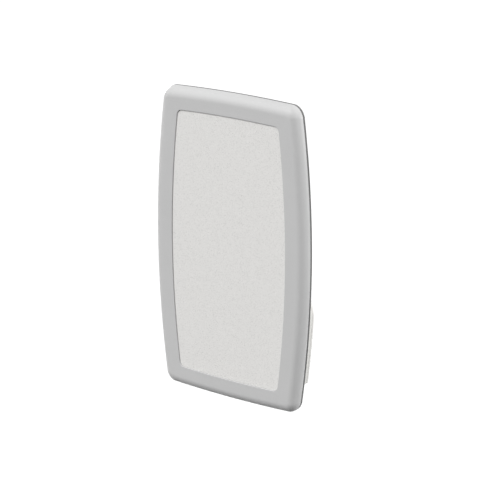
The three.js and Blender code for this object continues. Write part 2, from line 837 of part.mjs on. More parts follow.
const crankPinDepth = hingeDepth - crankThrow * Math.SQRT1_2;
const crankPinHeight = hingeHeight - crankThrow * Math.SQRT1_2;
const stroke = crankThrow * Math.SQRT2;
const springDepth = hingeDepth - (crankThrow * (1 + Math.SQRT1_2)) / 2;
const slotReach = (crankThrow * (1 - Math.SQRT1_2)) / 2 + crankPinRadius + running;
const slotHeight = crankPinRadius + yokePlay;
const yokeTop = crankPinHeight + slotHeight + yokeNeck;
const rodBottom = crankPinHeight + slotHeight + yokeWall;
const cylinderBottom = yokeTop + stroke + running * 4;
const yokeInside = springPlace - yokeThickness / 2;
const yokeOutside = springPlace + yokeThickness / 2;

function crank(side) {
  const lean = Math.acos((crankHub - crankEnd) / crankThrow);
  const towardsPin = Math.PI * 1.25;
  const arm = new THREE.Shape();
  arm.absarc(hingeDepth, hingeHeight, crankHub, towardsPin + lean, towardsPin - lean + Math.PI * 2);
  arm.absarc(crankPinDepth, crankPinHeight, crankEnd, towardsPin - lean, towardsPin + lean);
  const [near, far] = [crankPlace - crankThickness / 2, crankPlace + crankThickness / 2];
  const pin = alongX(
    disc(crankPinDepth, crankPinHeight, crankPinRadius), side * near, side * (yokeOutside + running),
  );
  return join(
    alongX(arm, side * near, side * far),
    sideBlock(side, [near, flangeFront + running, beamBottom], [far, beamBack - fit, hingeHeight]),
    pin,
  );
}

function rodYoke(side) {
  const half = slotReach + yokeWall;
  const outline = rounded(
    springDepth - half, springDepth + half, crankPinHeight - slotHeight - yokeWall, yokeTop, yokeWall,
  );
  outline.holes.push(rounded(
    springDepth - slotReach, springDepth + slotReach,
    crankPinHeight - slotHeight, crankPinHeight + slotHeight, crankPinRadius,
  ));
  const socket = alongHeight(
    disc(side * springPlace, springDepth, rodRadius + fit), rodBottom - fit, yokeTop + fit,
  );
  return cut(alongX(outline, side * yokeInside, side * yokeOutside), socket);
}

function pistonRod(side) {
  const rod = turned([[0, 0], [rodRadius, 0], [rodRadius, rodLength], [0, rodLength]], 14, upwards);
  return rod.translate(side * springPlace, -springDepth, rodBottom);
}

function gasCylinder(side) {
  const bore = rodRadius + running;
  const edge = bore / 3;
  const blind = cylinderLength - cylinderEnd;
  const tube = turned([
    [0, blind], [bore, blind], [bore, 0], [cylinderRadius - edge, 0], [cylinderRadius, edge],
    [cylinderRadius, cylinderLength - edge], [cylinderRadius - edge, cylinderLength], [0, cylinderLength],
  ], 20, upwards);
  return tube.translate(side * springPlace, -springDepth, cylinderBottom);
}

function cylinderClamp(side, z) {
  const x = side * springPlace;
  const [low, high] = [z - clampLength / 2, z + clampLength / 2];
  const hole = disc(x, springDepth, cylinderRadius + fit);
  const body = join(
    alongHeight(disc(x, springDepth, cylinderRadius + clampWall), low, high),
    block([x - clampFoot / 3, plateFront, low], [x + clampFoot / 3, springDepth, high]),
    block([x - clampFoot, plateFront, low], [x + clampFoot, plateFront + clampWall, high]),
  );
  return cut(body, alongHeight(hole, low - fit, high + fit));
}

bothSides.forEach(([name, side]) => {
  place(bed, `crank_${name}`, 'steel', crank(side));
  place(chassis, `rod_yoke_${name}`, 'steel', rodYoke(side));
  place(chassis, `piston_rod_${name}`, 'chrome', pistonRod(side));
  place(chassis, `gas_cylinder_${name}`, 'blackSteel', gasCylinder(side));
  const lower = cylinderBottom + clampMargin;
  const upper = cylinderBottom + cylinderLength - clampMargin;
  place(chassis, `lower_clamp_${name}`, 'steel', cylinderClamp(side, lower));
  place(chassis, `upper_clamp_${name}`, 'steel', cylinderClamp(side, upper));
});

// Chassis: steel wall plate with standoffs, moulded frame against the wall and moulded cover

const coverScrewPlaces = coverScrews.flatMap(([x, z]) => [[-x, z], [x, z]]);
const coverInside = chassisDepth - coverWall;

function wallPlate() {
  const edge = frameWidth + fit;
  const plate = loft([ring(chassisEdge, edge, 0), ring(chassisEdge, edge, plateThickness)]);
  const standoffs = coverScrewPlaces.map(([x, z]) => alongDepth(
    disc(x, z, bossRadius, 12), plateThickness / 2, coverInside - fit,
  ));
  const pilots = coverScrewPlaces.map(([x, z]) => alongDepth(
    disc(x, z, screwShank + fit, 10), chassisDepth - screwLength - fit, chassisDepth,
  ));
  const half = wallSlotLength / 2;
  const slotPlaces = [-wallSlotHeight, wallSlotHeight].flatMap((z) => [[-wallSlotPlace, z], [wallSlotPlace, z]]);
  const slots = slotPlaces.map(([x, z]) => alongDepth(
    rounded(x - wallSlotRadius, x + wallSlotRadius, z - half, z + half, wallSlotRadius * 0.98),
    -fit, plateFront,
  ));
  return cut(join(plate, ...standoffs), ...pilots, ...slots);
}

function wallFrame() {
  return loft([
    ring(chassisEdge, 0, 0),
    ring(chassisEdge, 0, frameDepth),
    ring(chassisEdge, frameWidth, frameDepth),
    ring(chassisEdge, frameWidth, 0),
  ], true);
}

const flapFront = chassisDepth - fit;
const flapBack = flapFront - flapThickness;
const flapBottom = flapTop - flapHeight;
const flapAxisHeight = flapTop - flapAxisDrop;
const flapAxisDepth = flapBack + flapThickness / 4;
const flapHalf = flapWidth / 2;
const flapOpening = flapHalf + flapGap;

function chassisCover() {
  const reveal = fit * 2;
  const edgeCentre = reveal + coverDraft + coverEdge;
  const edgeStart = chassisDepth - coverEdge;
  const rim = frameDepth + fit;
  const hood = loft([
    ...quarter(coverEdge, edgeCentre, edgeStart, 4).reverse().map(([i, d]) => ring(chassisEdge, i, d)),
    ring(chassisEdge, reveal, rim),
    ring(chassisEdge, reveal + coverWall, rim),
    ...quarter(coverEdge - coverWall, edgeCentre, edgeStart, 3).map(([i, d]) => ring(chassisEdge, i, d)),
  ]);
  const ears = bothSides.map(([, side]) => sideBlock(
    side,
    [flapOpening, coverInside - flapEarDepth, flapAxisHeight - flapEarHeight / 2],
    [flapOpening + flapEarWidth, coverInside + coverWall / 2, flapAxisHeight + flapEarHeight / 2],
  ));
  const legSpace = bracketWidth / 2 + running * 2;
  const crankSpace = crankThickness / 2 + running * 4;
  const crankTop = hingeHeight + crankThrow * Math.SQRT1_2 + crankEnd;
  const bottom = chassisBottom - running;
  const bottomSlot = legTop + running * 3;
  const cuts = bothSides.flatMap(([, side]) => [
    alongX(
      disc(flapAxisDepth, flapAxisHeight, flapPinRadius + fit),
      side * flapHalf, side * (flapHalf + flapPinLength + flapGap),
    ),
    sideBlock(
      side,
      [hingeSpread - legSpace, rim - fit, bottom],
      [hingeSpread + legSpace, chassisDepth + fit, bottomSlot],
    ),
    sideBlock(
      side,
      [crankPlace - crankSpace, rim + fit, bottom],
      [yokeOutside + running * 4, coverInside, bottomSlot],
    ),
    sideBlock(
      side,
      [crankPlace - crankSpace, edgeStart, bottom],
      [crankPlace + crankSpace, chassisDepth + fit, crankTop],
    ),
  ]);
  const mouth = block(
    [-flapOpening, coverInside - fit, flapBottom - flapGap],
    [flapOpening, chassisDepth + fit, flapTop + flapGap],
  );
  const holes = coverScrewPlaces.map(([x, z]) => alongDepth(
    disc(x, z, screwShank + fit, 10), coverInside - fit, chassisDepth + fit,
  ));
  return cut(join(hood, ...ears), mouth, ...cuts, ...holes);
}

function rubberBumper(side) {
  const foot = chassisDepth + fit;
  const top = hollowDepth(bumperPlace + bumperTip, bumperHeight) - running;
  const bumper = turned([
    [0, foot], [bumperRadius, foot], [bumperRadius, foot + bumperRadius / 3],
    [bumperTip + bumperRadius / 6, top - bumperRadius / 6], [bumperTip, top], [0, top],
  ], 16, towardsFront);
  return bumper.translate(side * bumperPlace, 0, bumperHeight);
}

// Liner dispenser: a bin behind the cover, its stack of paper liners and a lift-up flap

const binFront = coverInside - fit;
const binBack = binFront - binDepth;
const binHalf = flapHalf + binMargin;
const binFloor = flapBottom - binMargin + binWall;

function linerBin() {
  return cut(
    block([-binHalf, binBack, flapBottom - binMargin], [binHalf, binFront, flapTop + binMargin]),
    block(
      [binWall - binHalf, binBack + binWall, binFloor],
      [binHalf - binWall, binFront + fit, flapTop + binMargin - binWall],
    ),
  );
}

function linerStack() {
  const half = flapHalf - binMargin;
  const back = binBack + binWall + fit;
  return block([-half, back, binFloor + fit], [half, back + linerThickness, binFloor + fit + linerHeight]);
}

function linerFlap() {
  const lip = outlined([
    [flapBack, flapTop], [flapFront, flapTop], [flapFront, flapBottom + flapLip * 1.5],
    [flapFront + flapLip, flapBottom + flapLip / 2], [flapFront + flapLip, flapBottom],
    [flapBack + flapThickness / 2, flapBottom], [flapBack, flapBottom + flapThickness / 2],
  ]);
  const pivot = alongX(
    disc(flapAxisDepth, flapAxisHeight, flapPinRadius), -flapHalf - flapPinLength, flapHalf + flapPinLength,
  );
  return join(alongX(lip, -flapHalf, flapHalf), pivot);
}

place(chassis, 'wall_plate', 'steel', wallPlate());
place(chassis, 'wall_frame', 'specklePlastic', wallFrame());
place(chassis, 'chassis_cover', 'specklePlastic', chassisCover());
coverScrewPlaces.forEach(([x, z], i) => {
  place(chassis, `cover_screw_${i + 1}`, 'chrome', screw(x, z, chassisDepth, -1));
});
bothSides.forEach(([name, side]) => place(chassis, `bumper_${name}`, 'darkRubber', rubberBumper(side)));
place(chassis, 'liner_bin', 'greyPlastic', linerBin());
place(chassis, 'liner_stack', 'paper', linerStack());
place(chassis, 'liner_flap', 'greyPlastic', linerFlap());

export default station;
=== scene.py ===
import math
import bmesh
import bpy
import numpy as np
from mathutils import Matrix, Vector


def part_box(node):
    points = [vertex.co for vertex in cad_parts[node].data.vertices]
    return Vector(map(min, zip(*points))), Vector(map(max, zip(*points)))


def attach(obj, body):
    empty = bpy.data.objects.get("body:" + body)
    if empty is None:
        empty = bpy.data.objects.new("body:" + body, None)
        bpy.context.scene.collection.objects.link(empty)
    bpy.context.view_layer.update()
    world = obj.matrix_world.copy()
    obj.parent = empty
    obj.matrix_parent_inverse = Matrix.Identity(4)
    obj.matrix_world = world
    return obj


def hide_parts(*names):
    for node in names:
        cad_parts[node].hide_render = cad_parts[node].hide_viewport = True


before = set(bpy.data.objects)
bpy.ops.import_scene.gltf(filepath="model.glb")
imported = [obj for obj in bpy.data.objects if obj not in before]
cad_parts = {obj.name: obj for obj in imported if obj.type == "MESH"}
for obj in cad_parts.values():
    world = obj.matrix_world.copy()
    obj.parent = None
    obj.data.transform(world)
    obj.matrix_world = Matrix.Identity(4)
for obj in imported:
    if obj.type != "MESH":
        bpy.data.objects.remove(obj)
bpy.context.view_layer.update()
scene = bpy.context.scene
scene.view_settings.view_transform = "Standard"
print("frame loaded,", len(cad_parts), "nodes")

# camera: from the front right and a little above, with a long lens
viewpoint = {
    "target": (0.0782, -0.104, 0.225),
    "from": (35.68, 18.06, 5.559),      # azimuth, elevation and distance, as for the lamps
    "lens": 144.8,
}


def linked(name, data):
    made = bpy.data.objects.new(name, data)
    scene.collection.objects.link(made)
    return made


def aimed(name, data, target, azimuth, elevation, distance):
    # a camera or a lamp that faces the target from afar, azimuth 0 straight in front
    a, e = math.radians(azimuth), math.radians(elevation)
    towards = Vector((math.sin(a) * math.cos(e), -math.cos(a) * math.cos(e), math.sin(e)))
    made = linked(name, data)
    made.location = Vector(target) + towards * distance
    made.rotation_euler = towards.to_track_quat("Z", "Y").to_euler()
    return made


def placeCamera(values):
    data = bpy.data.cameras.new("photoCamera")
    data.lens = values["lens"]
    scene.camera = aimed("photoCamera", data, values["target"], *values["from"])


placeCamera(viewpoint)
print("camera placed")


# shader helpers
def addNode(tree, kind, inputs=None, **settings):
    # a value goes on the socket itself, a socket is linked
    made = tree.nodes.new(kind)
    for name, value in settings.items():
        setattr(made, name, value)
    for name, value in (inputs or {}).items():
        if isinstance(value, bpy.types.NodeSocket):
            tree.links.new(value, made.inputs[name])
        else:
            made.inputs[name].default_value = value
    return made


def newGroup(name, inputs, outputs):
    group = bpy.data.node_groups.new(name, "ShaderNodeTree")
    for way, sockets in (("INPUT", inputs), ("OUTPUT", outputs)):
        for label, kind in sockets.items():
            group.interface.new_socket(name=label, in_out=way, socket_type="NodeSocket" + kind)
    given = group.nodes.new("NodeGroupInput").outputs
    return group, given, group.nodes.new("NodeGroupOutput").inputs


def useGroup(tree, group, **inputs):
    return addNode(tree, "ShaderNodeGroup", inputs, node_tree=group).outputs


def maths(tree, operation, first, second=0.0):
    return addNode(tree, "ShaderNodeMath", {0: first, 1: second}, operation=operation).outputs[0]


def rampBetween(tree, value, low, high, toLow=0.0, toHigh=1.0):
    inputs = {"Value": value, "From Min": low, "From Max": high, "To Min": toLow, "To Max": toHigh}
    ramp = addNode(tree, "ShaderNodeMapRange", inputs, interpolation_type="SMOOTHSTEP")
    return ramp.outputs["Result"]


def mixed(tree, share, first, second):
    # factor, first and second colour are inputs 0, 6 and 7 of a Mix node
    inputs = {0: share, 6: first, 7: second}
    return addNode(tree, "ShaderNodeMix", inputs, data_type="RGBA").outputs[2]


def noise(tree, place, scale, detail, roughness):
    inputs = {"Vector": place, "Scale": scale, "Detail": detail, "Roughness": roughness}
    return addNode(tree, "ShaderNodeTexNoise", inputs).outputs["Fac"]


def srgb(*screen):
    # red, green and blue from 0 to 255 to the linear colour that a shader takes
    share = np.array(screen) / 255
    linear = np.where(share <= 0.04045, share / 12.92, ((share + 0.055) / 1.055) ** 2.4)
    return (*linear.tolist(), 1.0)


# flecks fade from core to edge, in cell widths; the mottle's scale is a share of the cells'
speckleLook = {"core": 0.22, "edge": 0.5, "mottleScale": 0.12, "mottle": 0.012}
noiseSpan = (0.3, 0.7)      # the part of a noise's range that is used
grainSpan = (0.32, 0.68)


def makeSpeckle(look):
    # cells of the size of a fleck, a share of them dark and a share bright, over a soft mottle
    inputs = {"Vector": "Vector", "Base": "Color", "Dark": "Color", "Bright": "Color",
              "Cells": "Float", "Share": "Float"}
    tree, given, out = newGroup("speckle", inputs, {"Colour": "Color"})
    cells = addNode(tree, "ShaderNodeTexVoronoi",
                    {"Vector": given["Vector"], "Scale": given["Cells"]}).outputs
    chance = addNode(tree, "ShaderNodeSeparateColor", {"Color": cells["Color"]}).outputs
    fleck = rampBetween(tree, cells["Distance"], look["core"], look["edge"], 1.0, 0.0)
    dark = maths(tree, "LESS_THAN", chance["Red"], given["Share"])
    bright = maths(tree, "LESS_THAN", chance["Green"], given["Share"])
    mottleScale = maths(tree, "MULTIPLY", given["Cells"], look["mottleScale"])
    mottle = noise(tree, given["Vector"], mottleScale, 3.0, 0.6)
    soft = rampBetween(tree, mottle, *noiseSpan, 0.0, look["mottle"])
    colour = mixed(tree, soft, given["Base"], given["Dark"])
    colour = mixed(tree, maths(tree, "MULTIPLY", bright, fleck), colour, given["Bright"])
    colour = mixed(tree, maths(tree, "MULTIPLY", dark, fleck), colour, given["Dark"])
    tree.links.new(colour, out["Colour"])
    return tree


def makeGrain():
    # fine moulded texture, and a slow patchiness for gloss and colour
    inputs = {"Vector": "Vector", "Scale": "Float", "Patch": "Float"}
    tree, given, out = newGroup("mouldGrain", inputs, {"Height": "Float", "Patchiness": "Float"})
    fine = noise(tree, given["Vector"], given["Scale"], 2.0, 0.55)
    slow = noise(tree, given["Vector"], given["Patch"], 4.0, 0.6)
    tree.links.new(rampBetween(tree, fine, *grainSpan), out["Height"])
    tree.links.new(rampBetween(tree, slow, *noiseSpan), out["Patchiness"])
    return tree


def makeScratches(patchScale=60.0):
    # noise drawn out along one direction, as rolling or polishing leaves it
    inputs = {"Vector": "Vector", "Stretch": "Vector", "Scale": "Float"}
    tree, given, out = newGroup("drawnLines", inputs, {"Lines": "Float", "Patchiness": "Float"})
    drawn = addNode(tree, "ShaderNodeVectorMath", {0: given["Vector"], 1: given["Stretch"]},
                    operation="MULTIPLY")
    lines = noise(tree, drawn.outputs[0], given["Scale"], 3.0, 0.7)
    patch = noise(tree, given["Vector"], patchScale, 4.0, 0.5)
    tree.links.new(rampBetween(tree, lines, *noiseSpan), out["Lines"])
    tree.links.new(rampBetween(tree, patch, *noiseSpan), out["Patchiness"])
    return tree


weaveLook = {"slant": 1.6, "cordPower": 0.6, "pickLift": 0.7, "shadeSpan": (0.2, 1.5)}


def makeWeave(look):
    # cords along the band, each crossed by short slanting picks that change side from cord to
    # cord: height = |sin(pi across)| ^ cordPower * (|sin(pi (along + slant))| + pickLift)
    tree, given, out = newGroup("bandWeave", {"UV": "Vector", "Cord": "Float", "Pick": "Float"},
                                {"Height": "Float", "Shade": "Float"})
    place = addNode(tree, "ShaderNodeSeparateXYZ", {"Vector": given["UV"]}).outputs
    across = maths(tree, "DIVIDE", place["Y"], given["Cord"])
    along = maths(tree, "DIVIDE", place["X"], given["Pick"])

    def wave(value):
        return maths(tree, "ABSOLUTE", maths(tree, "SINE", maths(tree, "MULTIPLY", value, math.pi)))

    slant = maths(tree, "MULTIPLY", maths(tree, "PINGPONG", across, 1.0), look["slant"])
    pick = maths(tree, "ADD", wave(maths(tree, "ADD", along, slant)), look["pickLift"])
    height = maths(tree, "MULTIPLY", maths(tree, "POWER", wave(across), look["cordPower"]), pick)
    tree.links.new(height, out["Height"])
    # Shade: the weave's low parts painted darker, painted shade between cords and picks
    tree.links.new(rampBetween(tree, height, *look["shadeSpan"]), out["Shade"])
    return tree


speckle = makeSpeckle(speckleLook)
mouldGrain = makeGrain()
drawnLines = makeScratches()
bandWeave = makeWeave(weaveLook)
plasticIor = 1.46


def newMaterial(name, **settings):
    material = bpy.data.materials.new(name)
    material.use_nodes = True
    tree = material.node_tree
    sockets = tree.nodes["Principled BSDF"].inputs
    for label, value in settings.items():
        sockets[label.replace("_", " ")].default_value = value
    return material, tree, sockets, tree.nodes.new("ShaderNodeTexCoord").outputs


def finishWith(tree, sockets, colour, patches, gloss, height, strength, distance):
    # colour, a roughness that goes from one gloss value to the other, and a fine bump
    bump = addNode(tree, "ShaderNodeBump",
                   {"Height": height, "Strength": strength, "Distance": distance})
    tree.links.new(colour, sockets["Base Color"])
    tree.links.new(rampBetween(tree, patches, 0.0, 1.0, *gloss), sockets["Roughness"])
    tree.links.new(bump.outputs["Normal"], sockets["Normal"])


def speckledMoulding(name, base, dark, bright, share, gloss, cells=700.0, scale=1500.0,
                     patch=14.0, bump=0.25, bumpHeight=0.00008):
    material, tree, sockets, place = newMaterial(name, IOR=plasticIor)
    flecks = useGroup(tree, speckle, Vector=place["Object"], Base=srgb(*base), Dark=srgb(*dark),
                      Bright=srgb(*bright), Cells=cells, Share=share)
    grain = useGroup(tree, mouldGrain, Vector=place["Object"], Scale=scale, Patch=patch)
    finishWith(tree, sockets, flecks["Colour"], grain["Patchiness"], gloss,
               grain["Height"], bump, bumpHeight)
    return material


def plainMoulding(name, base, shaded, scale, gloss, bump, shine=0.5, patch=9.0, finePatch=0.2,
                  bumpHeight=0.0001):
    material, tree, sockets, place = newMaterial(name, IOR=plasticIor, Specular_IOR_Level=shine)
    grain = useGroup(tree, mouldGrain, Vector=place["Object"], Scale=scale, Patch=patch)
    fine = useGroup(tree, mouldGrain, Vector=place["Object"], Scale=scale, Patch=scale * finePatch)
    tone = maths(tree, "MULTIPLY", grain["Patchiness"], fine["Patchiness"])
    finishWith(tree, sockets, mixed(tree, tone, srgb(*base), srgb(*shaded)),
               grain["Patchiness"], gloss, grain["Height"], bump, bumpHeight)
    return material


def drawnMetal(name, base, shaded, stretch, scale, gloss, bump=0.12, bumpHeight=0.00005):
    material, tree, sockets, place = newMaterial(name, Metallic=1.0)
    lines = useGroup(tree, drawnLines, Vector=place["Object"], Stretch=stretch, Scale=scale)
    tone = maths(tree, "MULTIPLY", lines["Lines"], lines["Patchiness"])
    finishWith(tree, sockets, mixed(tree, tone, srgb(*base), srgb(*shaded)),
               lines["Lines"], gloss, lines["Lines"], bump, bumpHeight)
    return material


def wovenBand(name, base, shaded, cord, pick, gloss, patch=40.0, mostWorn=0.75, bump=0.7,
              bumpHeight=0.0004):
    material, tree, sockets, place = newMaterial(name, Sheen_Weight=0.25, Sheen_Roughness=0.5)
    weave = useGroup(tree, bandWeave, UV=place["UV"], Cord=cord, Pick=pick)
    fuzz = useGroup(tree, mouldGrain, Vector=place["Object"], Patch=patch)
    worn = rampBetween(tree, fuzz["Patchiness"], 0.0, 1.0, mostWorn, 1.0)
    # colour from the painted shade of the weave's low parts, darker again in random worn patches
    tone = maths(tree, "MULTIPLY", weave["Shade"], worn)
    finishWith(tree, sockets, mixed(tree, tone, srgb(*shaded), srgb(*base)),
               weave["Shade"], gloss, weave["Height"], bump, bumpHeight)
    return material


# each finish: how it is made, the record's slot, and its own values; colours as seen on screen
finishes = {
    "greyMoulding": (plainMoulding, "grey_moulding", dict(
        base=(193, 193, 193), shaded=(189, 189, 189),
        scale=1300.0, gloss=(0.42, 0.46), bump=0.18, shine=0.22)),
    "speckledPanel": (speckledMoulding, "speckled_moulding", dict(
        base=(221, 220, 218), dark=(140, 139, 137),
        bright=(249, 248, 246), share=0.14, gloss=(0.44, 0.48))),
    "speckledTray": (speckledMoulding, "speckled_moulding", dict(
        base=(214, 213, 210), dark=(168, 167, 164),
        bright=(228, 227, 224), share=0.14, gloss=(0.39, 0.44))),
    "paleCover": (speckledMoulding, "speckled_moulding", dict(
        base=(214, 213, 210), dark=(190, 189, 186),
        bright=(226, 225, 222), share=0.1, gloss=(0.4, 0.45))),
    # dark grey of the edge band: painted shade standing in for the shadow gap between shell and
    # tray
    "edgeRubber": (plainMoulding, "edge_rubber", dict(
        base=(114, 114, 114), shaded=(103, 103, 103),
        scale=1800.0, gloss=(0.55, 0.7), bump=0.3, shine=0.1)),
    "darkRubber": (plainMoulding, "dark_rubber", dict(
        base=(48, 48, 49), shaded=(40, 40, 41), scale=1600.0, gloss=(0.6, 0.78), bump=0.35)),
    "blackPlastic": (plainMoulding, "black_plastic", dict(
        base=(40, 40, 42), shaded=(34, 34, 36), scale=2200.0, gloss=(0.38, 0.5), bump=0.3)),
    "blackPaint": (plainMoulding, "black_steel", dict(
        base=(36, 36, 37), shaded=(30, 30, 31), scale=700.0, gloss=(0.24, 0.34), bump=0.12)),
    "zincPlate": (drawnMetal, "zinc_steel", dict(
        base=(172, 175, 178), shaded=(143, 146, 150),
        stretch=(1.0, 1.0, 0.06), scale=900.0, gloss=(0.34, 0.48))),
    "brightSteel": (drawnMetal, "bright_steel", dict(
        base=(214, 215, 216), shaded=(196, 198, 200),
        stretch=(1.0, 1.0, 0.3), scale=1500.0, gloss=(0.14, 0.24))),
    # shaded: the painted shade colour in the weave's low parts
    "strapWebbing": (wovenBand, "strap_webbing", dict(
        base=(70, 72, 76), shaded=(38, 39, 42), cord=0.0017, pick=0.0015, gloss=(0.9, 0.7))),
    "linerPaper": (plainMoulding, "liner_paper", dict(
        base=(238, 237, 232), shaded=(228, 227, 221), scale=900.0, gloss=(0.85, 0.95), bump=0.35)),
    "stitchThread": (plainMoulding, "strap_webbing", dict(
        base=(142, 144, 148), shaded=(120, 122, 126), scale=3000.0, gloss=(0.7, 0.85), bump=0.4)),
}
materials = {finish: make(finish, **own) for finish, (make, _, own) in finishes.items()}
print("materials made,", len(materials))

# studio: pale floor, soft sky and three broad lamps far off, so that the light is even
studio = {
    "floorHeight": -1.35,
    "floorSpan": 40.0,
    "floorColour": (0.84, 0.84, 0.84, 1),
    "floorBounce": (0.1, 0.1, 0.1, 1),
    "skyLow": 0.3,
    "skyHigh": 0.7,
    "lampsAimAt": (0.0, -0.06, 0.2),
    "lamps": {
        "keyLamp": {"power": 85500.0, "size": 45.0, "from": (-15, 44, 100.0)},
        "rightLamp": {"power": 98000.0, "size": 40.0, "from": (124, 4, 100.0)},
        "leftLamp": {"power": 59000.0, "size": 40.0, "from": (-122, 4, 100.0)},
    },
}
white = (1, 1, 1, 1)


def seenDirectly(tree):
    # one for rays that look straight at the background, or by way of gloss or glass
    path = tree.nodes.new("ShaderNodeLightPath").outputs
    seen = maths(tree, "MAXIMUM", path["Is Camera Ray"], path["Is Glossy Ray"])
    return maths(tree, "MAXIMUM", seen, path["Is Transmission Ray"])


def makeSky(values):
    scene.world = bpy.data.worlds.new("softSky")
    scene.world.use_nodes = True
    tree = scene.world.node_tree
    tree.nodes.clear()
    direction = tree.nodes.new("ShaderNodeTexCoord").outputs["Generated"]
    up = addNode(tree, "ShaderNodeSeparateXYZ", {"Vector": direction}).outputs["Z"]
    span = {"Value": up, "From Min": -1.0, "From Max": 1.0,
            "To Min": values["skyLow"], "To Max": values["skyHigh"]}
    level = addNode(tree, "ShaderNodeMapRange", span).outputs["Result"]
    soft = addNode(tree, "ShaderNodeBackground", {"Color": white, "Strength": level})
    plain = addNode(tree, "ShaderNodeBackground", {"Color": white, "Strength": 1.0})
    both = addNode(tree, "ShaderNodeMixShader",
                   {0: seenDirectly(tree), 1: soft.outputs[0], 2: plain.outputs[0]})
    addNode(tree, "ShaderNodeOutputWorld", {"Surface": both.outputs[0]})


def makeFloor(values):
    corners = np.array([(-1, -1, 0), (1, -1, 0), (1, 1, 0), (-1, 1, 0)]) * values["floorSpan"] / 2
    mesh = bpy.data.meshes.new("paleFloor")
    mesh.from_pydata((corners + (0, 0, values["floorHeight"])).tolist(), [], [(0, 1, 2, 3)])
    floor = linked("paleFloor", mesh)
    material = bpy.data.materials.new("paleFloor")
    material.use_nodes = True
    tree = material.node_tree
    tree.nodes.clear()
    colour = mixed(tree, seenDirectly(tree), values["floorBounce"], values["floorColour"])
    matt = addNode(tree, "ShaderNodeBsdfDiffuse", {"Color": colour})
    addNode(tree, "ShaderNodeOutputMaterial", {"Surface": matt.outputs[0]})
    mesh.materials.append(material)


def makeLamps(values):
    for name, own in values["lamps"].items():
        lamp = bpy.data.lights.new(name, "AREA")
        lamp.shape = "DISK"
        lamp.size = own["size"]
        lamp.energy = own["power"]
        aimed(name, lamp, values["lampsAimAt"], *own["from"])


makeSky(studio)
makeFloor(studio)
makeLamps(studio)
print("studio lit")

# mesh helpers
sides = {"left": -1, "right": 1}


def pointsAt(x, y, z):
    return np.stack(np.broadcast_arrays(x, y, z), axis=-1)


def fullTurn(count):
    return np.linspace(0, 2 * np.pi, count, endpoint=False)


def gridFaces(rows, columns, closeRows=False):
    # quads between neighbouring rows of points, each row a closed ring
    r = np.arange(rows if closeRows else rows - 1)[:, None]
    c = np.arange(columns)[None, :]
    r1, c1 = (r + 1) % rows, (c + 1) % columns
    corners = (r * columns + c, r * columns + c1, r1 * columns + c1, r1 * columns + c)
    return np.stack(np.broadcast_arrays(*corners), axis=-1).reshape(-1, 4).tolist()


def ends(rows, columns):
    # flat caps over the first and the last row
    return [list(range(columns))[::-1], list(range((rows - 1) * columns, rows * columns))]


def makeMesh(points, faces, uv=None):
    mesh = bpy.data.meshes.new("surface")
    mesh.from_pydata(points.reshape(-1, 3).tolist(), [], faces)
    if uv is not None:
        corner = np.empty(len(mesh.loops), dtype=np.int32)
        mesh.loops.foreach_get("vertex_index", corner)
        layer = mesh.uv_layers.new(name="UVMap")
        layer.data.foreach_set("uv", uv.reshape(-1, 2)[corner].ravel())
    edit = bmesh.new()
    edit.from_mesh(mesh)
    bmesh.ops.remove_doubles(edit, verts=edit.verts, dist=1e-7)
    bmesh.ops.recalc_face_normals(edit, faces=edit.faces)
    edit.to_mesh(mesh)
    edit.free()
    return mesh


def cappedRings(rings, uv=None):
    # closed rings joined in their order, with a flat cap over the first and the last
    rows, columns = rings.shape[:2]
    return makeMesh(rings, gridFaces(rows, columns) + ends(rows, columns), uv)


def addPiece(name, mesh, finish, body, replaced, sharp=35):
    mesh.name = name
    mesh.materials.clear()
    mesh.materials.append(materials[finish])
    mesh.shade_smooth()
    mesh.set_sharp_from_angle(angle=math.radians(sharp))
    piece = linked(name, mesh)
    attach(piece, body)
    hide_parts(replaced)
    return piece


def cutAway(mesh, boxes):
    # takes boxes, each two corners, out of a closed mesh
    body = linked("cutBody", mesh)
    corners = np.array([[x, y, z] for x in (0, 1) for y in (0, 1) for z in (0, 1)])
    faces = [[0, 1, 3, 2], [4, 6, 7, 5], [0, 4, 5, 1], [2, 3, 7, 6], [0, 2, 6, 4], [1, 5, 7, 3]]
    tools = []
    for low, high in np.array(boxes):
        tool = linked("cutTool", makeMesh(low + corners * (high - low), faces))
        tools.append(tool)
        cut = body.modifiers.new("cut", "BOOLEAN")
        cut.operation = "DIFFERENCE"
        cut.solver = "EXACT"
        cut.object = tool
    graph = bpy.context.evaluated_depsgraph_get()
    done = bpy.data.meshes.new_from_object(body.evaluated_get(graph))
    for used in [body, *tools]:
        bpy.data.objects.remove(used)
    return done


def bothSides(low, high):
    # a box given on the right, and its twin on the left
    return [(low, high), ((-high[0], low[1], low[2]), (-low[0], high[1], high[2]))]


# outlines of the bed and the chassis, in metres, seen from the front
bedBow = {"half": 0.26, "endHalf": 0.2275, "middle": 0.2065, "reach": 0.4475}
bedEdge = {"bottom": -0.241, "top": 0.654, "bow": bedBow, "inside": 0.0, "crown": 0.006,
           "topRadius": 0.033, "bottomRadius": 0.033, "grow": 0.0}
openingBow = {"half": 0.195, "endHalf": 0.1705, "middle": 0.2065, "reach": 0.385}
openingEdge = {"bottom": -0.1785, "top": 0.5915, "bow": openingBow, "inside": 0.0, "crown": 0.004,
               "topRadius": 0.014, "bottomRadius": 0.014, "grow": 0.0}
chassisEdge = {"bottom": -0.175, "top": 0.175, "bow": bedBow, "inside": 0.031, "crown": 0.0,
               "topRadius": 0.16, "bottomRadius": 0.006, "grow": 0.0}
hollowEdge = {"bottom": -0.151, "top": 0.61, "bow": bedBow, "inside": 0.044, "crown": 0.006,
              "topRadius": 0.07, "bottomRadius": 0.07, "grow": 1.0}
steps = {"corner": 24, "side": 72, "end": 44}
leastRadius = 0.001


def sideAt(edge, height):
    # half width at a height: widest in the middle, less by the square of the way to the end
    bow = edge["bow"]
    share = (height - bow["middle"]) / bow["reach"]
    return bow["half"] - (bow["half"] - bow["endHalf"]) * share ** 2 - edge["inside"]


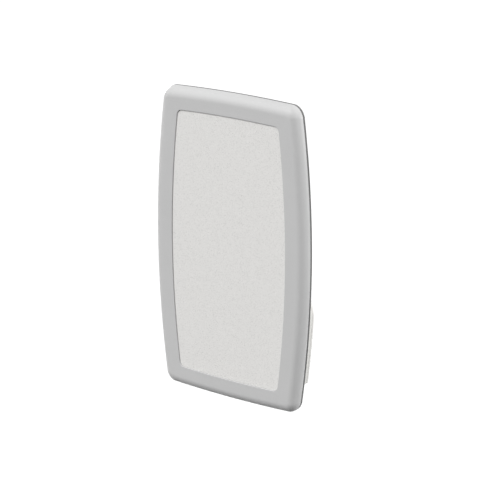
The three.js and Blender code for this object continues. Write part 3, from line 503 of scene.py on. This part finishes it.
def outlineRows(edge, insets, depths):
    # loops round an outline: four arcs and four lines in u and v, then the width bows with the
    # height and the ends sag towards the corners; each row is drawn in by its inset at its depth
    inset, depth = np.reshape(insets, (-1, 1)), np.reshape(depths, (-1, 1))
    middle = (edge["top"] + edge["bottom"]) / 2
    reach = (edge["top"] - edge["bottom"]) / 2 - inset
    across = sideAt(edge, middle) - inset
    upper = np.maximum(edge["topRadius"] + (edge["grow"] - 1) * inset, leastRadius)
    lower = np.maximum(edge["bottomRadius"] + (edge["grow"] - 1) * inset, leastRadius)
    turn = np.linspace(0, np.pi / 2, steps["corner"] + 1)[None, :]
    side = np.linspace(0, 1, steps["side"] + 1)[None, 1:-1]
    end = np.linspace(0, 1, steps["end"] + 1)[None, 1:-1]
    down = (reach - upper) + (lower - 2 * reach + upper) * side
    u = np.concatenate([
        across - upper + upper * np.cos(turn),
        (across - upper) * (1 - 2 * end),
        upper - across - upper * np.sin(turn),
        0 * side - across,
        lower - across - lower * np.cos(turn),
        (across - lower) * (2 * end - 1),
        across - lower + lower * np.sin(turn),
        0 * side + across,
    ], axis=1)
    v = np.concatenate([
        reach - upper + upper * np.sin(turn),
        0 * end + reach,
        reach - upper + upper * np.cos(turn),
        down,
        lower - reach - lower * np.sin(turn),
        0 * end - reach,
        lower - reach - lower * np.cos(turn),
        down[:, ::-1],
    ], axis=1)
    z = middle + v
    x = u * (sideAt(edge, z) - inset) / across
    z = z - edge["crown"] * (u / across) ** 2 * (v / reach)
    return pointsAt(x, -depth, z)


def roundOver(radius, inset, depth, count, start=0.0, stop=90.0):
    # insets and depths of an arc from the side, at 0 degrees, to the face, at 90
    turn = np.radians(np.linspace(start, stop, count))
    return inset - radius * np.cos(turn), depth + radius * np.sin(turn)


def loopedSkin(*rows):
    # a skin over all rows that closes round on the first one
    points = np.concatenate(rows)
    return makeMesh(points, gridFaces(*points.shape[:2], closeRows=True))


# outer shell of the bed, with the round shoulder and the recess
shell = {
    "back": 0.074, "front": 0.104, "wall": 0.0035, "shoulder": 0.029, "shoulderSteps": 40,
    "insideSteps": 16, "faceSteps": 10, "lip": 0.0014, "lipSteps": 6, "recessRound": 0.0015,
    "roundSteps": 8, "draft": 0.0006, "ledgeWidth": 0.012, "ledgeFront": 0.0972,
    "ledgeBack": 0.094,
}


def makeShell(values):
    # rows in order: a small arc at the back edge, the quarter round of the shoulder, a face in
    # straight lines from the bed's outline to the opening's, the round into the recess, the
    # ledge, and back along the inside one wall thickness in
    back, front, wall = values["back"], values["front"], values["wall"]
    lip, shoulder, soft = values["lip"], values["shoulder"], values["recessRound"]
    lipIn, lipDeep = roundOver(lip, lip, back + lip, values["lipSteps"], -90, 0)
    outIn, outDeep = roundOver(shoulder, shoulder, front - shoulder, values["shoulderSteps"])
    inIn, inDeep = roundOver(shoulder - wall, shoulder, front - shoulder, values["insideSteps"])
    edgeIn, edgeDeep = roundOver(soft, soft, front - soft, values["roundSteps"])
    share = np.linspace(0, 1, values["faceSteps"])[1:-1][:, None, None]
    lastShoulder = outlineRows(bedEdge, outIn[-1], outDeep[-1])
    firstEdge = outlineRows(openingEdge, -soft, front)
    ledge, above, below = values["ledgeWidth"], values["ledgeFront"], values["ledgeBack"]
    ledgeIn = [values["draft"], ledge, ledge, -wall, -wall]
    ledgeDeep = [above, above, below, below, front - wall]
    return loopedSkin(
        outlineRows(bedEdge, lipIn, lipDeep),
        outlineRows(bedEdge, outIn[1:], outDeep[1:]),
        lastShoulder * (1 - share) + firstEdge * share,
        outlineRows(openingEdge, -edgeIn[::-1], edgeDeep[::-1]),
        outlineRows(openingEdge, ledgeIn, ledgeDeep),
        outlineRows(bedEdge, inIn[::-1], inDeep[::-1]),
        outlineRows(bedEdge, [wall], [back]),
    )


addPiece("bedShellSkin", makeShell(shell), "greyMoulding", "bed", "bed_shell")

# speckled panel in the recess
panel = {"back": 0.0975, "front": 0.101, "backEdge": 0.0009, "frontEdge": 0.0006, "lip": 0.0004,
         "lipSteps": 6, "flat": 0.001}


def makePanel(values):
    # the opening's outline drawn in: slanting side, small quarter round, and a flat ring that
    # keeps the front even
    lip = values["lip"]
    lipIn, lipDeep = roundOver(lip, values["frontEdge"] + lip, values["front"] - lip,
                               values["lipSteps"])
    insets = np.concatenate([[values["backEdge"]], lipIn, [lipIn[-1] + values["flat"]]])
    depths = np.concatenate([[values["back"]], lipDeep, [values["front"]]])
    return cappedRings(outlineRows(openingEdge, insets, depths))


addPiece("panelInsert", makePanel(panel), "speckledPanel", "bed", "front_panel")

# rubber edge between shell and tray, a round bead with two fine grooves; its dark grey is painted
# shade, standing in for the shadow gap between them
seal = {"back": 0.0657, "front": 0.0737, "outside": 0.0003, "inside": 0.0083, "bulge": 0.0005,
        "groove": 0.0004, "groovesAt": (0.33, 0.67), "grooveWidth": 0.04, "steps": 33}


def makeSeal(values):
    # inset = outside + bulge * |2 s - 1| ^ 8 + a bell curve at each groove, s from back to front
    share = np.linspace(0, 1, values["steps"])
    bow = values["bulge"] * np.abs(2 * share - 1) ** 8
    off = (share - np.array(values["groovesAt"])[:, None]) / values["grooveWidth"]
    lines = values["groove"] * np.exp(-off ** 2).sum(axis=0)
    depth = values["back"] + (values["front"] - values["back"]) * share
    return loopedSkin(
        outlineRows(bedEdge, values["outside"] + bow + lines, depth),
        outlineRows(bedEdge, [values["inside"]] * 2, [values["front"], values["back"]]),
    )


addPiece("paintedShadeSeal", makeSeal(seal), "edgeRubber", "bed", "bed_seal")

# changing tray: flange, raised rim and smooth hollow
tray = {
    "rim": 0.052, "rimWidth": 0.01, "rimSoft": 0.0004, "rollSteps": 14, "rollOut": 1.1,
    "rollDown": 3.2, "floor": 0.086, "slope": 0.1188, "slopeSteps": 36, "slopeSpread": 1.4,
    "curve": 2.2, "wall": 0.0034, "flangeBack": 0.062, "flangeFront": 0.0654,
    "flangeInset": 0.006, "flangeSoft": 0.0005,
    "leafSlot": ((0.0631, -0.0657, -0.1975), (0.1546, -0.0617, -0.1645)),
    "crankSlot": ((0.1506, -0.0657, -0.203), (0.1586, -0.0617, -0.1685)),
}


def hollowDepth(inset):
    # depth of the hollow: falls steeply at the rim and runs out flat on the floor
    share = np.clip(1 - np.asarray(inset) / tray["slope"], 0, None)
    return tray["floor"] - (tray["floor"] - tray["rim"]) * share ** tray["curve"]


def makeTray(values):
    # rows from the middle of the hollow up to the rim, which rolls over to the flange as
    # width * sin(r) ^ rollOut against height * r ^ rollDown, round the flange, and back below
    rim, wide, wall = values["rim"], values["rimWidth"], values["wall"]
    back, front = values["flangeBack"], values["flangeFront"]
    edge, soft = values["flangeInset"], values["flangeSoft"]
    slope = values["slope"] * np.linspace(0, 1, values["slopeSteps"]) ** values["slopeSpread"]
    upwards = hollowDepth(slope[::-1])
    upwards[-1] += values["rimSoft"]
    roll = np.linspace(0, 1, values["rollSteps"])
    rollIn = -wide * np.sin(roll * np.pi / 2) ** values["rollOut"]
    rollDeep = rim + (back - rim) * roll ** values["rollDown"]
    underIn = -(wide - wall) * np.sin(roll[::-1] * np.pi / 2)
    underDeep = rim + wall + (front - rim - wall) * roll[::-1] ** values["rollDown"]
    mesh = cappedRings(np.concatenate([
        outlineRows(hollowEdge, slope[::-1], upwards),
        outlineRows(hollowEdge, rollIn[1:], rollDeep[1:]),
        outlineRows(bedEdge, [edge + soft, edge, edge, edge + soft],
                    [back, back + soft, front - soft, front]),
        outlineRows(hollowEdge, underIn[:-1], underDeep[:-1]),
        outlineRows(hollowEdge, slope, hollowDepth(slope) + wall),
    ]))
    return cutAway(mesh, bothSides(*values["leafSlot"]) + bothSides(*values["crankSlot"]))


addPiece("trayHollow", makeTray(tray), "speckledTray", "bed", "changing_tray")
print("bed mouldings made")

# chassis: hood over the works, with openings for liners, hinges, springs and cranks
hood = {
    "rim": 0.0073, "front": 0.048, "reveal": 0.0006, "draft": 0.004, "edge": 0.01,
    "edgeSteps": 16, "insideSteps": 10, "wall": 0.003, "flat": 0.002,
    "mouth": ((-0.1264, -0.0483, 0.0066), (0.1264, -0.0447, 0.0614)),
    "leg": ((0.0896, -0.0483, -0.1755), (0.1216, -0.007, -0.164)),
    "spring": ((0.1496, -0.045, -0.1755), (0.1796, -0.0076, -0.164)),
    "crank": ((0.1496, -0.0483, -0.1755), (0.1596, -0.038, -0.14)),
}


def makeHood(values):
    # rows from a flat ring on the face over the quarter round down the slanting side to the rim,
    # and back inside with the round smaller by the wall
    edge, wall, rim, reveal = values["edge"], values["wall"], values["rim"], values["reveal"]
    centre = reveal + values["draft"] + edge
    start = values["front"] - edge
    outIn, outDeep = roundOver(edge, centre, start, values["edgeSteps"])
    inIn, inDeep = roundOver(edge - wall, centre, start, values["insideSteps"])
    flat = centre + values["flat"]
    mesh = cappedRings(np.concatenate([
        outlineRows(chassisEdge, np.append(flat, outIn[::-1]),
                    np.append(values["front"], outDeep[::-1])),
        outlineRows(chassisEdge, [reveal, reveal + wall], [rim, rim]),
        outlineRows(chassisEdge, np.append(inIn, flat), np.append(inDeep, inDeep[-1])),
    ]))
    boxes = [values["mouth"]]
    for part in ("leg", "spring", "crank"):
        boxes += bothSides(*values[part])
    return cutAway(mesh, boxes)


addPiece("chassisHood", makeHood(hood), "paleCover", "chassis", "chassis_cover")

# half round ears inside the hood that carry the flap's pivots
ear = {"inside": 0.1264, "outside": 0.1314, "depth": 0.0462, "front": 0.0465, "height": 0.057,
       "radius": 0.005, "soft": 0.0006, "steps": 25}


def earMesh(values, side):
    # a half disc with a straight front edge, its rim drawn in a little at both faces
    turn = np.linspace(np.pi / 2, 3 * np.pi / 2, values["steps"])
    soft, near, far = values["soft"], values["inside"], values["outside"]
    radius = values["radius"] - np.array([soft, 0, 0, soft])[:, None]
    x = np.array([near, near + soft, far - soft, far])[:, None]
    depth = values["depth"] + radius * np.cos(turn)
    height = values["height"] + radius * np.sin(turn)
    depth = np.concatenate([depth, np.full((4, 2), values["front"])], axis=1)
    height = np.concatenate([height, values["height"] + radius * np.array([-1, 1])], axis=1)
    return cappedRings(pointsAt(side * x, -depth, height))


for name, side in sides.items():
    addPiece("flapEar-" + name, earMesh(ear, side), "paleCover", "chassis", "chassis_cover")

# frame between the hood and the wall
wallFrame = {"depth": 0.007, "width": 0.008, "soft": 0.0008, "softSteps": 5}


def makeWallFrame(values):
    # a section of depth by width carried round the chassis, its outer front edge a quarter round
    soft, depth, width = values["soft"], values["depth"], values["width"]
    softIn, softDeep = roundOver(soft, soft, depth - soft, values["softSteps"])
    return loopedSkin(
        outlineRows(chassisEdge, [0.0], [0.0]),
        outlineRows(chassisEdge, softIn, softDeep),
        outlineRows(chassisEdge, [width, width], [depth, 0.0]),
    )


addPiece("wallFrameMoulding", makeWallFrame(wallFrame), "paleCover", "chassis", "wall_frame")
print("chassis mouldings made")


def pairOf(*stems):
    # nodes that come as a left and a right one
    return [stem + "_" + side for stem in stems for side in sides]


# metal and small moulded pieces keep the solids' shapes, with their edges rounded
softEdges = {
    "bed": {
        "zincPlate": ["hinge_beam", *pairOf("hinge_leaf")],
        "blackPaint": pairOf("crank"),
        "blackPlastic": [*pairOf("strap_anchor", "bag_hook"), "buckle_frame"],
        "brightSteel": ["buckle_pin"],
    },
    "chassis": {
        "zincPlate": ["wall_plate", *pairOf("hinge_bracket", "lower_clamp", "upper_clamp")],
        "blackPlastic": ["liner_bin"],
    },
    "rod_left": {"zincPlate": ["rod_yoke_left"]},
    "rod_right": {"zincPlate": ["rod_yoke_right"]},
    "flap": {"paleCover": ["liner_flap"]},
    "lever": {"blackPlastic": ["buckle_lever"]},
}
edgeWidth = {"zincPlate": 0.0004, "blackPaint": 0.0006, "blackPlastic": 0.0006,
             "brightSteel": 0.0003, "paleCover": 0.0006}
edgeRound = {"segments": 2, "from": 32, "merge": 2e-5, "flatWithin": 1}   # angles in degrees


def softened(node, finish, body):
    # a merged copy of the solid's mesh with a narrow round on every sharp edge
    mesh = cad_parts[node].data.copy()
    edit = bmesh.new()
    edit.from_mesh(mesh)
    bmesh.ops.remove_doubles(edit, verts=edit.verts, dist=edgeRound["merge"])
    bmesh.ops.dissolve_limit(edit, angle_limit=math.radians(edgeRound["flatWithin"]),
                             verts=edit.verts, edges=edit.edges)
    edit.to_mesh(mesh)
    edit.free()
    piece = addPiece(node.replace("_", "-") + "-soft", mesh, finish, body, node)
    bevel = piece.modifiers.new("edgeRound", "BEVEL")
    bevel.width = edgeWidth[finish]
    bevel.segments = edgeRound["segments"]
    bevel.limit_method = "ANGLE"
    bevel.angle_limit = math.radians(edgeRound["from"])


for body, byFinish in softEdges.items():
    for finish, nodes in byFinish.items():
        for node in nodes:
            softened(node, finish, body)
print("hardware rounded")

# turned pieces: a profile of radius and length carried round an axis
turnSteps = 48


def turnedMesh(profile, centre, axis):
    # point = centre + radius * (cos, sin) in the plane across the axis + length along the axis
    radius, along = np.array(profile).T
    turn = fullTurn(turnSteps)
    first, second = {"x": (1, 2), "y": (2, 0), "z": (0, 1)}[axis]
    points = np.zeros((len(radius), turnSteps, 3))
    points[..., first] = radius[:, None] * np.cos(turn)
    points[..., second] = radius[:, None] * np.sin(turn)
    points[..., "xyz".index(axis)] = along[:, None]
    return cappedRings(points + centre)


# gas springs: neck and crown are how far in from the tube's radius, and how far from that end
spring = {
    "place": 0.1716, "depth": 0.0252, "bottom": -0.1279, "length": 0.19, "radius": 0.01,
    "neck": [(0.0054, 0.0), (0.0028, 0.0), (0.0014, 0.0005), (0.0012, 0.0042), (0.0006, 0.005),
             (0.0, 0.0058), (0.0, 0.012), (0.0005, 0.0126), (0.0005, 0.0142), (0.0, 0.0148)],
    "crown": [(0.0, 0.004), (0.0012, 0.0012), (0.004, 0.0), (0.0095, 0.0)],
    "rod": 0.0039, "rodBottom": -0.2037, "rodLength": 0.151, "rodEdge": 0.0006,
}


def makeSprings(values):
    # turned tube with a rolled groove at its neck, and a plain rod with broken edges
    r, length = values["radius"], values["length"]
    tube = np.concatenate([(r, 0) + np.array(values["neck"]) * (-1, 1),
                           (r, length) - np.array(values["crown"])])
    rod, rodLength, edge = values["rod"], values["rodLength"], values["rodEdge"]
    stem = [(rod - edge, 0.0), (rod, edge), (rod, rodLength - edge), (rod - edge, rodLength)]
    for name, side in sides.items():
        x, y = side * values["place"], -values["depth"]
        addPiece("springTube-" + name, turnedMesh(tube, (x, y, values["bottom"]), "z"),
                 "blackPaint", "chassis", "gas_cylinder_" + name)
        addPiece("springRod-" + name, turnedMesh(stem, (x, y, values["rodBottom"]), "z"),
                 "brightSteel", "rod_" + name, "piston_rod_" + name)


makeSprings(spring)

pin = {"place": 0.1056, "depth": 0.0645, "height": -0.181, "half": 0.0418, "radius": 0.005,
       "tip": (0.001, 0.0008), "head": 0.008, "headThickness": 0.003, "seatEdge": 0.0006,
       "topEdge": 0.001, "dimple": (0.0035, 0.003), "dimpleDepth": 0.0006}


def makePins(values):
    # turned pin: tapered tip, shank, and a flat head with a shallow dimple, head outwards
    r, half, head = values["radius"], values["half"], values["head"]
    (tipIn, tipLong), (brim, floor) = values["tip"], values["dimple"]
    seat, edge = values["seatEdge"], values["topEdge"]
    top = half + values["headThickness"]
    profile = np.array([
        (r - tipIn, -half), (r, tipLong - half), (r, half), (head - seat, half),
        (head, half + seat), (head, top - edge), (head - edge, top), (brim, top),
        (floor, top - values["dimpleDepth"]),
    ])
    for name, side in sides.items():
        centre = (side * values["place"], -values["depth"], values["height"])
        addPiece("hingePin-" + name, turnedMesh(profile * (1, side), centre, "x"),
                 "brightSteel", "chassis", "hinge_pin_" + name)


makePins(pin)

bumper = {"place": 0.185, "height": -0.04, "foot": 0.0483, "top": 0.0613, "radius": 0.009,
          "tip": 0.004, "soft": 0.0006, "curve": 2.6, "steps": 14}


def makeBumpers(values):
    # turned dome: radius = tip + (foot radius - tip) * (1 - rise ^ curve), edges broken
    wide, tip, soft, foot = values["radius"], values["tip"], values["soft"], values["foot"]
    rise = np.linspace(0, 1, values["steps"])
    radius = tip + (wide - tip) * (1 - rise ** values["curve"])
    depth = foot + (values["top"] - foot) * rise
    radius[-1] = tip - soft
    depth[0] += soft
    profile = np.stack([np.append(wide - soft, radius), -np.append(foot, depth)], axis=1)
    for name, side in sides.items():
        centre = (side * values["place"], 0, values["height"])
        addPiece("rubberBumper-" + name, turnedMesh(profile, centre, "y"),
                 "darkRubber", "chassis", "bumper_" + name)


makeBumpers(bumper)

# pan head screws with a cross recess, each left at its own turn
screw = {"head": 0.0045, "rise": 0.0026, "domeShare": 0.93, "domePower": 3.5, "shank": 0.0018,
         "length": 0.016, "tip": 0.0003, "arm": 0.0009, "reach": 0.0026, "recess": 0.0016,
         "taper": 0.35, "armSoft": 0.0002, "reachSoft": 0.0006, "rings": 26, "hub": 0.02,
         "turn": 48, "seed": 7}


def screwMesh(values, centre, facing, twist):
    # dome of the head, rise * sqrt(1 - share * (r / head) ^ power), less a cross that deepens to
    # the middle, then the seat and the shank
    head, shank, long = values["head"], values["shank"], values["length"]
    r = head * np.linspace(values["hub"], 1, values["rings"])[:, None]
    turn = fullTurn(values["turn"])
    bulge = 1 - values["domeShare"] * (r / head) ** values["domePower"]
    dome = values["rise"] * np.sqrt(np.clip(bulge, 0, None))
    x, z = r * np.cos(turn), r * np.sin(turn)
    across = np.minimum(np.abs(x), np.abs(z))
    wall = np.clip((values["arm"] / 2 - across) / values["armSoft"] + 0.5, 0, 1)
    reach = np.clip((values["reach"] - r) / values["reachSoft"], 0, 1)
    deep = values["recess"] * (1 - values["taper"] * r / values["reach"])
    height = dome - deep * wall * reach
    below = np.array([(head, 0.0), (shank, 0.0), (shank, shank - long), (values["tip"], -long)])
    x = np.concatenate([x, below[:, :1] * np.cos(turn)])
    z = np.concatenate([z, below[:, :1] * np.sin(turn)])
    height = np.concatenate([height, np.broadcast_to(below[:, 1:], (4, values["turn"]))])
    c, s = math.cos(twist), math.sin(twist)
    return cappedRings(pointsAt(x * c - z * s, height * facing, x * s + z * c) + centre)


def placeScrews(values):
    chance = np.random.default_rng(values["seed"])
    for node in [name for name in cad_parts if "_screw_" in name]:
        low, high = np.array(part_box(node))
        onTray = node.startswith("tray")
        middle = (low + high) / 2
        seat = high[1] - values["rise"] if onTray else low[1] + values["rise"]
        mesh = screwMesh(values, (middle[0], seat, middle[2]), 1 if onTray else -1,
                         chance.uniform(0, math.pi))
        addPiece(node.replace("_", "-"), mesh, "brightSteel", "bed" if onTray else "chassis", node)


placeScrews(screw)
print("turned pieces and screws made")

# safety strap: two halves of woven band over the hollow, held by a cam buckle
strap = {
    "height": 0.225, "width": 0.038, "thickness": 0.0016, "seat": 0.0004, "end": 0.1507,
    "leftEnd": -0.0223, "tail": -0.11, "tailLift": 0.0027, "inBuckle": 0.0831,
    "buckleHalf": 0.022, "leadIn": 0.012, "smoothing": 10, "leftSteps": 130, "rightSteps": 260,
    "ring": 40, "flatPower": 0.35, "thickPower": 0.6, "ripple": 0.00012, "rippleRate": 900,
    "mapOffset": 0.1,
}


def strapOnTray(x):
    # centre depth of a band that lies on the tray at strap height
    inset = sideAt(hollowEdge, strap["height"]) - np.abs(x)
    return hollowDepth(np.minimum(inset, tray["slope"])) - strap["seat"] - strap["thickness"] / 2


def smoothed(values, times):
    # each pass takes a quarter of both neighbours and a half of the value, ends kept
    kernel = np.array([0.25, 0.5, 0.25])
    for _ in range(times):
        inner = np.convolve(values, kernel, mode="valid")
        values = np.concatenate([values[:1], inner, values[-1:]])
    return values


def squared(wave, power):
    # a sine or cosine pushed out towards plus and minus one
    return np.sign(wave) * np.abs(wave) ** power


def bandMesh(values, x, depth):
    # flat oval section, powers of cos and sin, carried along the path; the edges ripple a little
    # and the map runs along the band and across it
    slope = np.gradient(depth, x)
    size = np.sqrt(1 + slope ** 2)
    normal = np.stack([-slope / size, 1 / size], axis=1)
    turn = fullTurn(values["ring"])
    flat = squared(np.cos(turn), values["flatPower"]) * values["width"] / 2
    thick = squared(np.sin(turn), values["thickPower"]) * values["thickness"] / 2
    length = np.concatenate([[0], np.cumsum(np.hypot(np.diff(x), np.diff(depth)))])
    wave = values["ripple"] * np.sin(length * values["rippleRate"])
    points = pointsAt(
        x[:, None] + normal[:, :1] * thick,
        -(depth[:, None] + normal[:, 1:] * thick),
        values["height"] + flat[None, :] + wave[:, None] * np.abs(np.cos(turn)) ** 8,
    )
    across = flat[None, :] + values["mapOffset"]
    return cappedRings(points, np.stack(np.broadcast_arrays(length[:, None], across), axis=-1))


def makeStraps(values):
    # the left half lies on the tray up to the buckle; the right half lies on the tray, runs
    # straight through the buckle and then back over the left half, with its bends smoothed
    left = np.linspace(-values["end"], values["leftEnd"], values["leftSteps"])
    right = np.linspace(values["end"], values["tail"], values["rightSteps"])
    lift, level, half = values["tailLift"], values["inBuckle"], values["buckleHalf"]
    outer = half + values["leadIn"]
    beside = float(strapOnTray(outer))
    through = np.interp(right, [-outer, -half, half, outer], [beside - lift, level, level, beside])
    lying = strapOnTray(right) - np.where(right > outer, 0, lift)
    depth = smoothed(np.where(np.abs(right) <= outer, through, lying), values["smoothing"])
    paths = {"left": (left, strapOnTray(left)), "right": (right, depth)}
    for name, path in paths.items():
        addPiece("strapBand-" + name, bandMesh(values, *path), "strapWebbing", "bed",
                 "strap_" + name, 60)
    return paths


strapPaths = makeStraps(strap)

# stitching: two rows across the band beside each anchor and at the hem of the loose end
stitch = {"length": 0.0026, "pitch": 0.0036, "count": 9, "thick": 0.00045, "sink": 0.6,
          "blunt": 1.02, "rowGap": 0.004, "fromEnd": 0.006, "rings": 9, "ring": 10}


def stitchMesh(values, path, rows):
    # each stitch is a short bead, radius = thick * sqrt(blunt - share ^ 4) along its length,
    # flattened and half sunk in the band
    order = np.argsort(path[0])
    along, deep = path[0][order], path[1][order]
    x = np.array(rows)[:, None, None, None]
    depth = np.interp(x, along, deep)
    slope = np.interp(x, along, np.gradient(deep, along))
    size = np.sqrt(1 + slope ** 2)
    place = (np.arange(values["count"]) - (values["count"] - 1) / 2) * values["pitch"]
    share = np.linspace(-1, 1, values["rings"])[None, None, :, None]
    turn = fullTurn(values["ring"])
    swell = values["thick"] * np.sqrt(values["blunt"] - share ** 4)
    out = strap["thickness"] / 2 + swell * np.sin(turn) * values["sink"]
    wide = swell * np.cos(turn)
    points = pointsAt(
        x + slope / size * out + wide / size,
        -depth + out / size - slope / size * wide,
        strap["height"] + place[None, :, None, None] + share * values["length"] / 2,
    )
    grid = (values["rings"], values["ring"])
    beads = points.reshape(-1, grid[0] * grid[1], 3)
    first = np.arange(len(beads))[:, None, None] * grid[0] * grid[1]
    walls = (first + np.array(gridFaces(*grid))).reshape(-1, 4).tolist()
    caps = (first + np.array(ends(*grid))).reshape(-1, grid[1]).tolist()
    return makeMesh(beads, walls + caps)


def sewStraps(values):
    first = strap["end"] - values["fromEnd"]
    second = first - values["rowGap"]
    hem = strap["tail"] + values["fromEnd"]
    rows = {"left": [-first, -second], "right": [first, second, hem, hem + values["rowGap"]]}
    for name, places in rows.items():
        mesh = stitchMesh(values, strapPaths[name], places)
        addPiece("strapStitches-" + name, mesh, "stitchThread", "bed", "strap_" + name, 60)


sewStraps(stitch)

# paper liners: one long sheet folded to and fro, on edge in the bin
liner = {"half": 0.116, "back": 0.011, "front": 0.037, "bottom": 0.0013, "top": 0.0453,
         "folds": 26, "paper": 0.00034, "runSteps": 5, "bendSteps": 6, "widthSteps": 13,
         "wave": 0.00012, "waveAcross": 55, "waveThrough": 900, "waveDepth": 0.6}


def makeLiners(values):
    # path of the folds in depth and height: straight runs joined by half circles, thickened to
    # both sides of the path and carried across with a slight wave
    count, paper, bends = values["folds"], values["paper"], values["bendSteps"]
    pitch = (values["front"] - values["back"] - 2 * paper) / (count - 1)
    bend = pitch / 2
    low, high = values["bottom"] + bend + paper, values["top"] - bend - paper
    run = np.linspace(0, 1, values["runSteps"])[None, :]
    arc = np.linspace(0, np.pi, bends + 2)[1:-1][None, :]
    index = np.arange(count)[:, None]
    rising = index % 2 == 0
    base = values["back"] + paper + pitch * index
    depth = np.concatenate([base + 0 * run, base + bend - bend * np.cos(arc)], axis=1)
    height = np.concatenate([
        np.where(rising, low + (high - low) * run, high - (high - low) * run),
        np.where(rising, high + bend * np.sin(arc), low - bend * np.sin(arc)),
    ], axis=1)
    depth, height = depth.ravel()[:-bends], height.ravel()[:-bends]
    along = np.stack([np.gradient(depth), np.gradient(height)], axis=1)
    along *= paper / 2 / np.linalg.norm(along, axis=1)[:, None]
    loopDepth = np.concatenate([depth - along[:, 1], (depth + along[:, 1])[::-1]])[None, :]
    loopHeight = np.concatenate([height + along[:, 0], (height - along[:, 0])[::-1]])[None, :]
    x = np.linspace(-values["half"], values["half"], values["widthSteps"])[:, None]
    wave = values["wave"] * np.sin(x * values["waveAcross"] + loopDepth * values["waveThrough"])
    loopDepth = loopDepth + wave * values["waveDepth"]
    return cappedRings(pointsAt(x, -loopDepth, loopHeight + wave))


addPiece("linerStack", makeLiners(liner), "linerPaper", "chassis", "liner_stack", 50)

# the next liner, loose at the front of the stack and bellied out towards the mouth
leaf = {"half": 0.113, "start": 0.0374, "belly": 0.0042, "top": 0.0446, "bottom": 0.006,
        "curve": 0.8, "drop": 0.35, "paper": 0.0003, "wave": 0.0004, "waveRate": 70,
        "slowWave": 0.0003, "slowRate": 26, "hemWave": 0.0003, "hemRate": 40,
        "heightSteps": 31, "widthSteps": 61}


def makeLeaf(values):
    # depth = start + belly * share ^ curve * (1 - drop * share ^ 3), with waves across the
    # width that grow towards the lower edge
    share = np.linspace(0, 1, values["heightSteps"])[None, :]
    x = np.linspace(-values["half"], values["half"], values["widthSteps"])[:, None]
    belly = values["belly"] * share ** values["curve"] * (1 - values["drop"] * share ** 3)
    wave = values["wave"] * np.sin(x * values["waveRate"] + share * 2)
    slowWave = values["slowWave"] * np.sin(x * values["slowRate"] + 1)
    depth = values["start"] + belly + (wave + slowWave) * share
    height = values["top"] + (values["bottom"] - values["top"]) * share
    height = height + values["hemWave"] * share * np.sin(x * values["hemRate"])
    half = values["paper"] / 2
    front, back = pointsAt(x, -depth - half, height), pointsAt(x, -depth + half, height)
    return cappedRings(np.concatenate([front, back[:, ::-1]], axis=1))


addPiece("linerLeaf", makeLeaf(leaf), "linerPaper", "chassis", "liner_stack", 50)
print("straps and liners made")
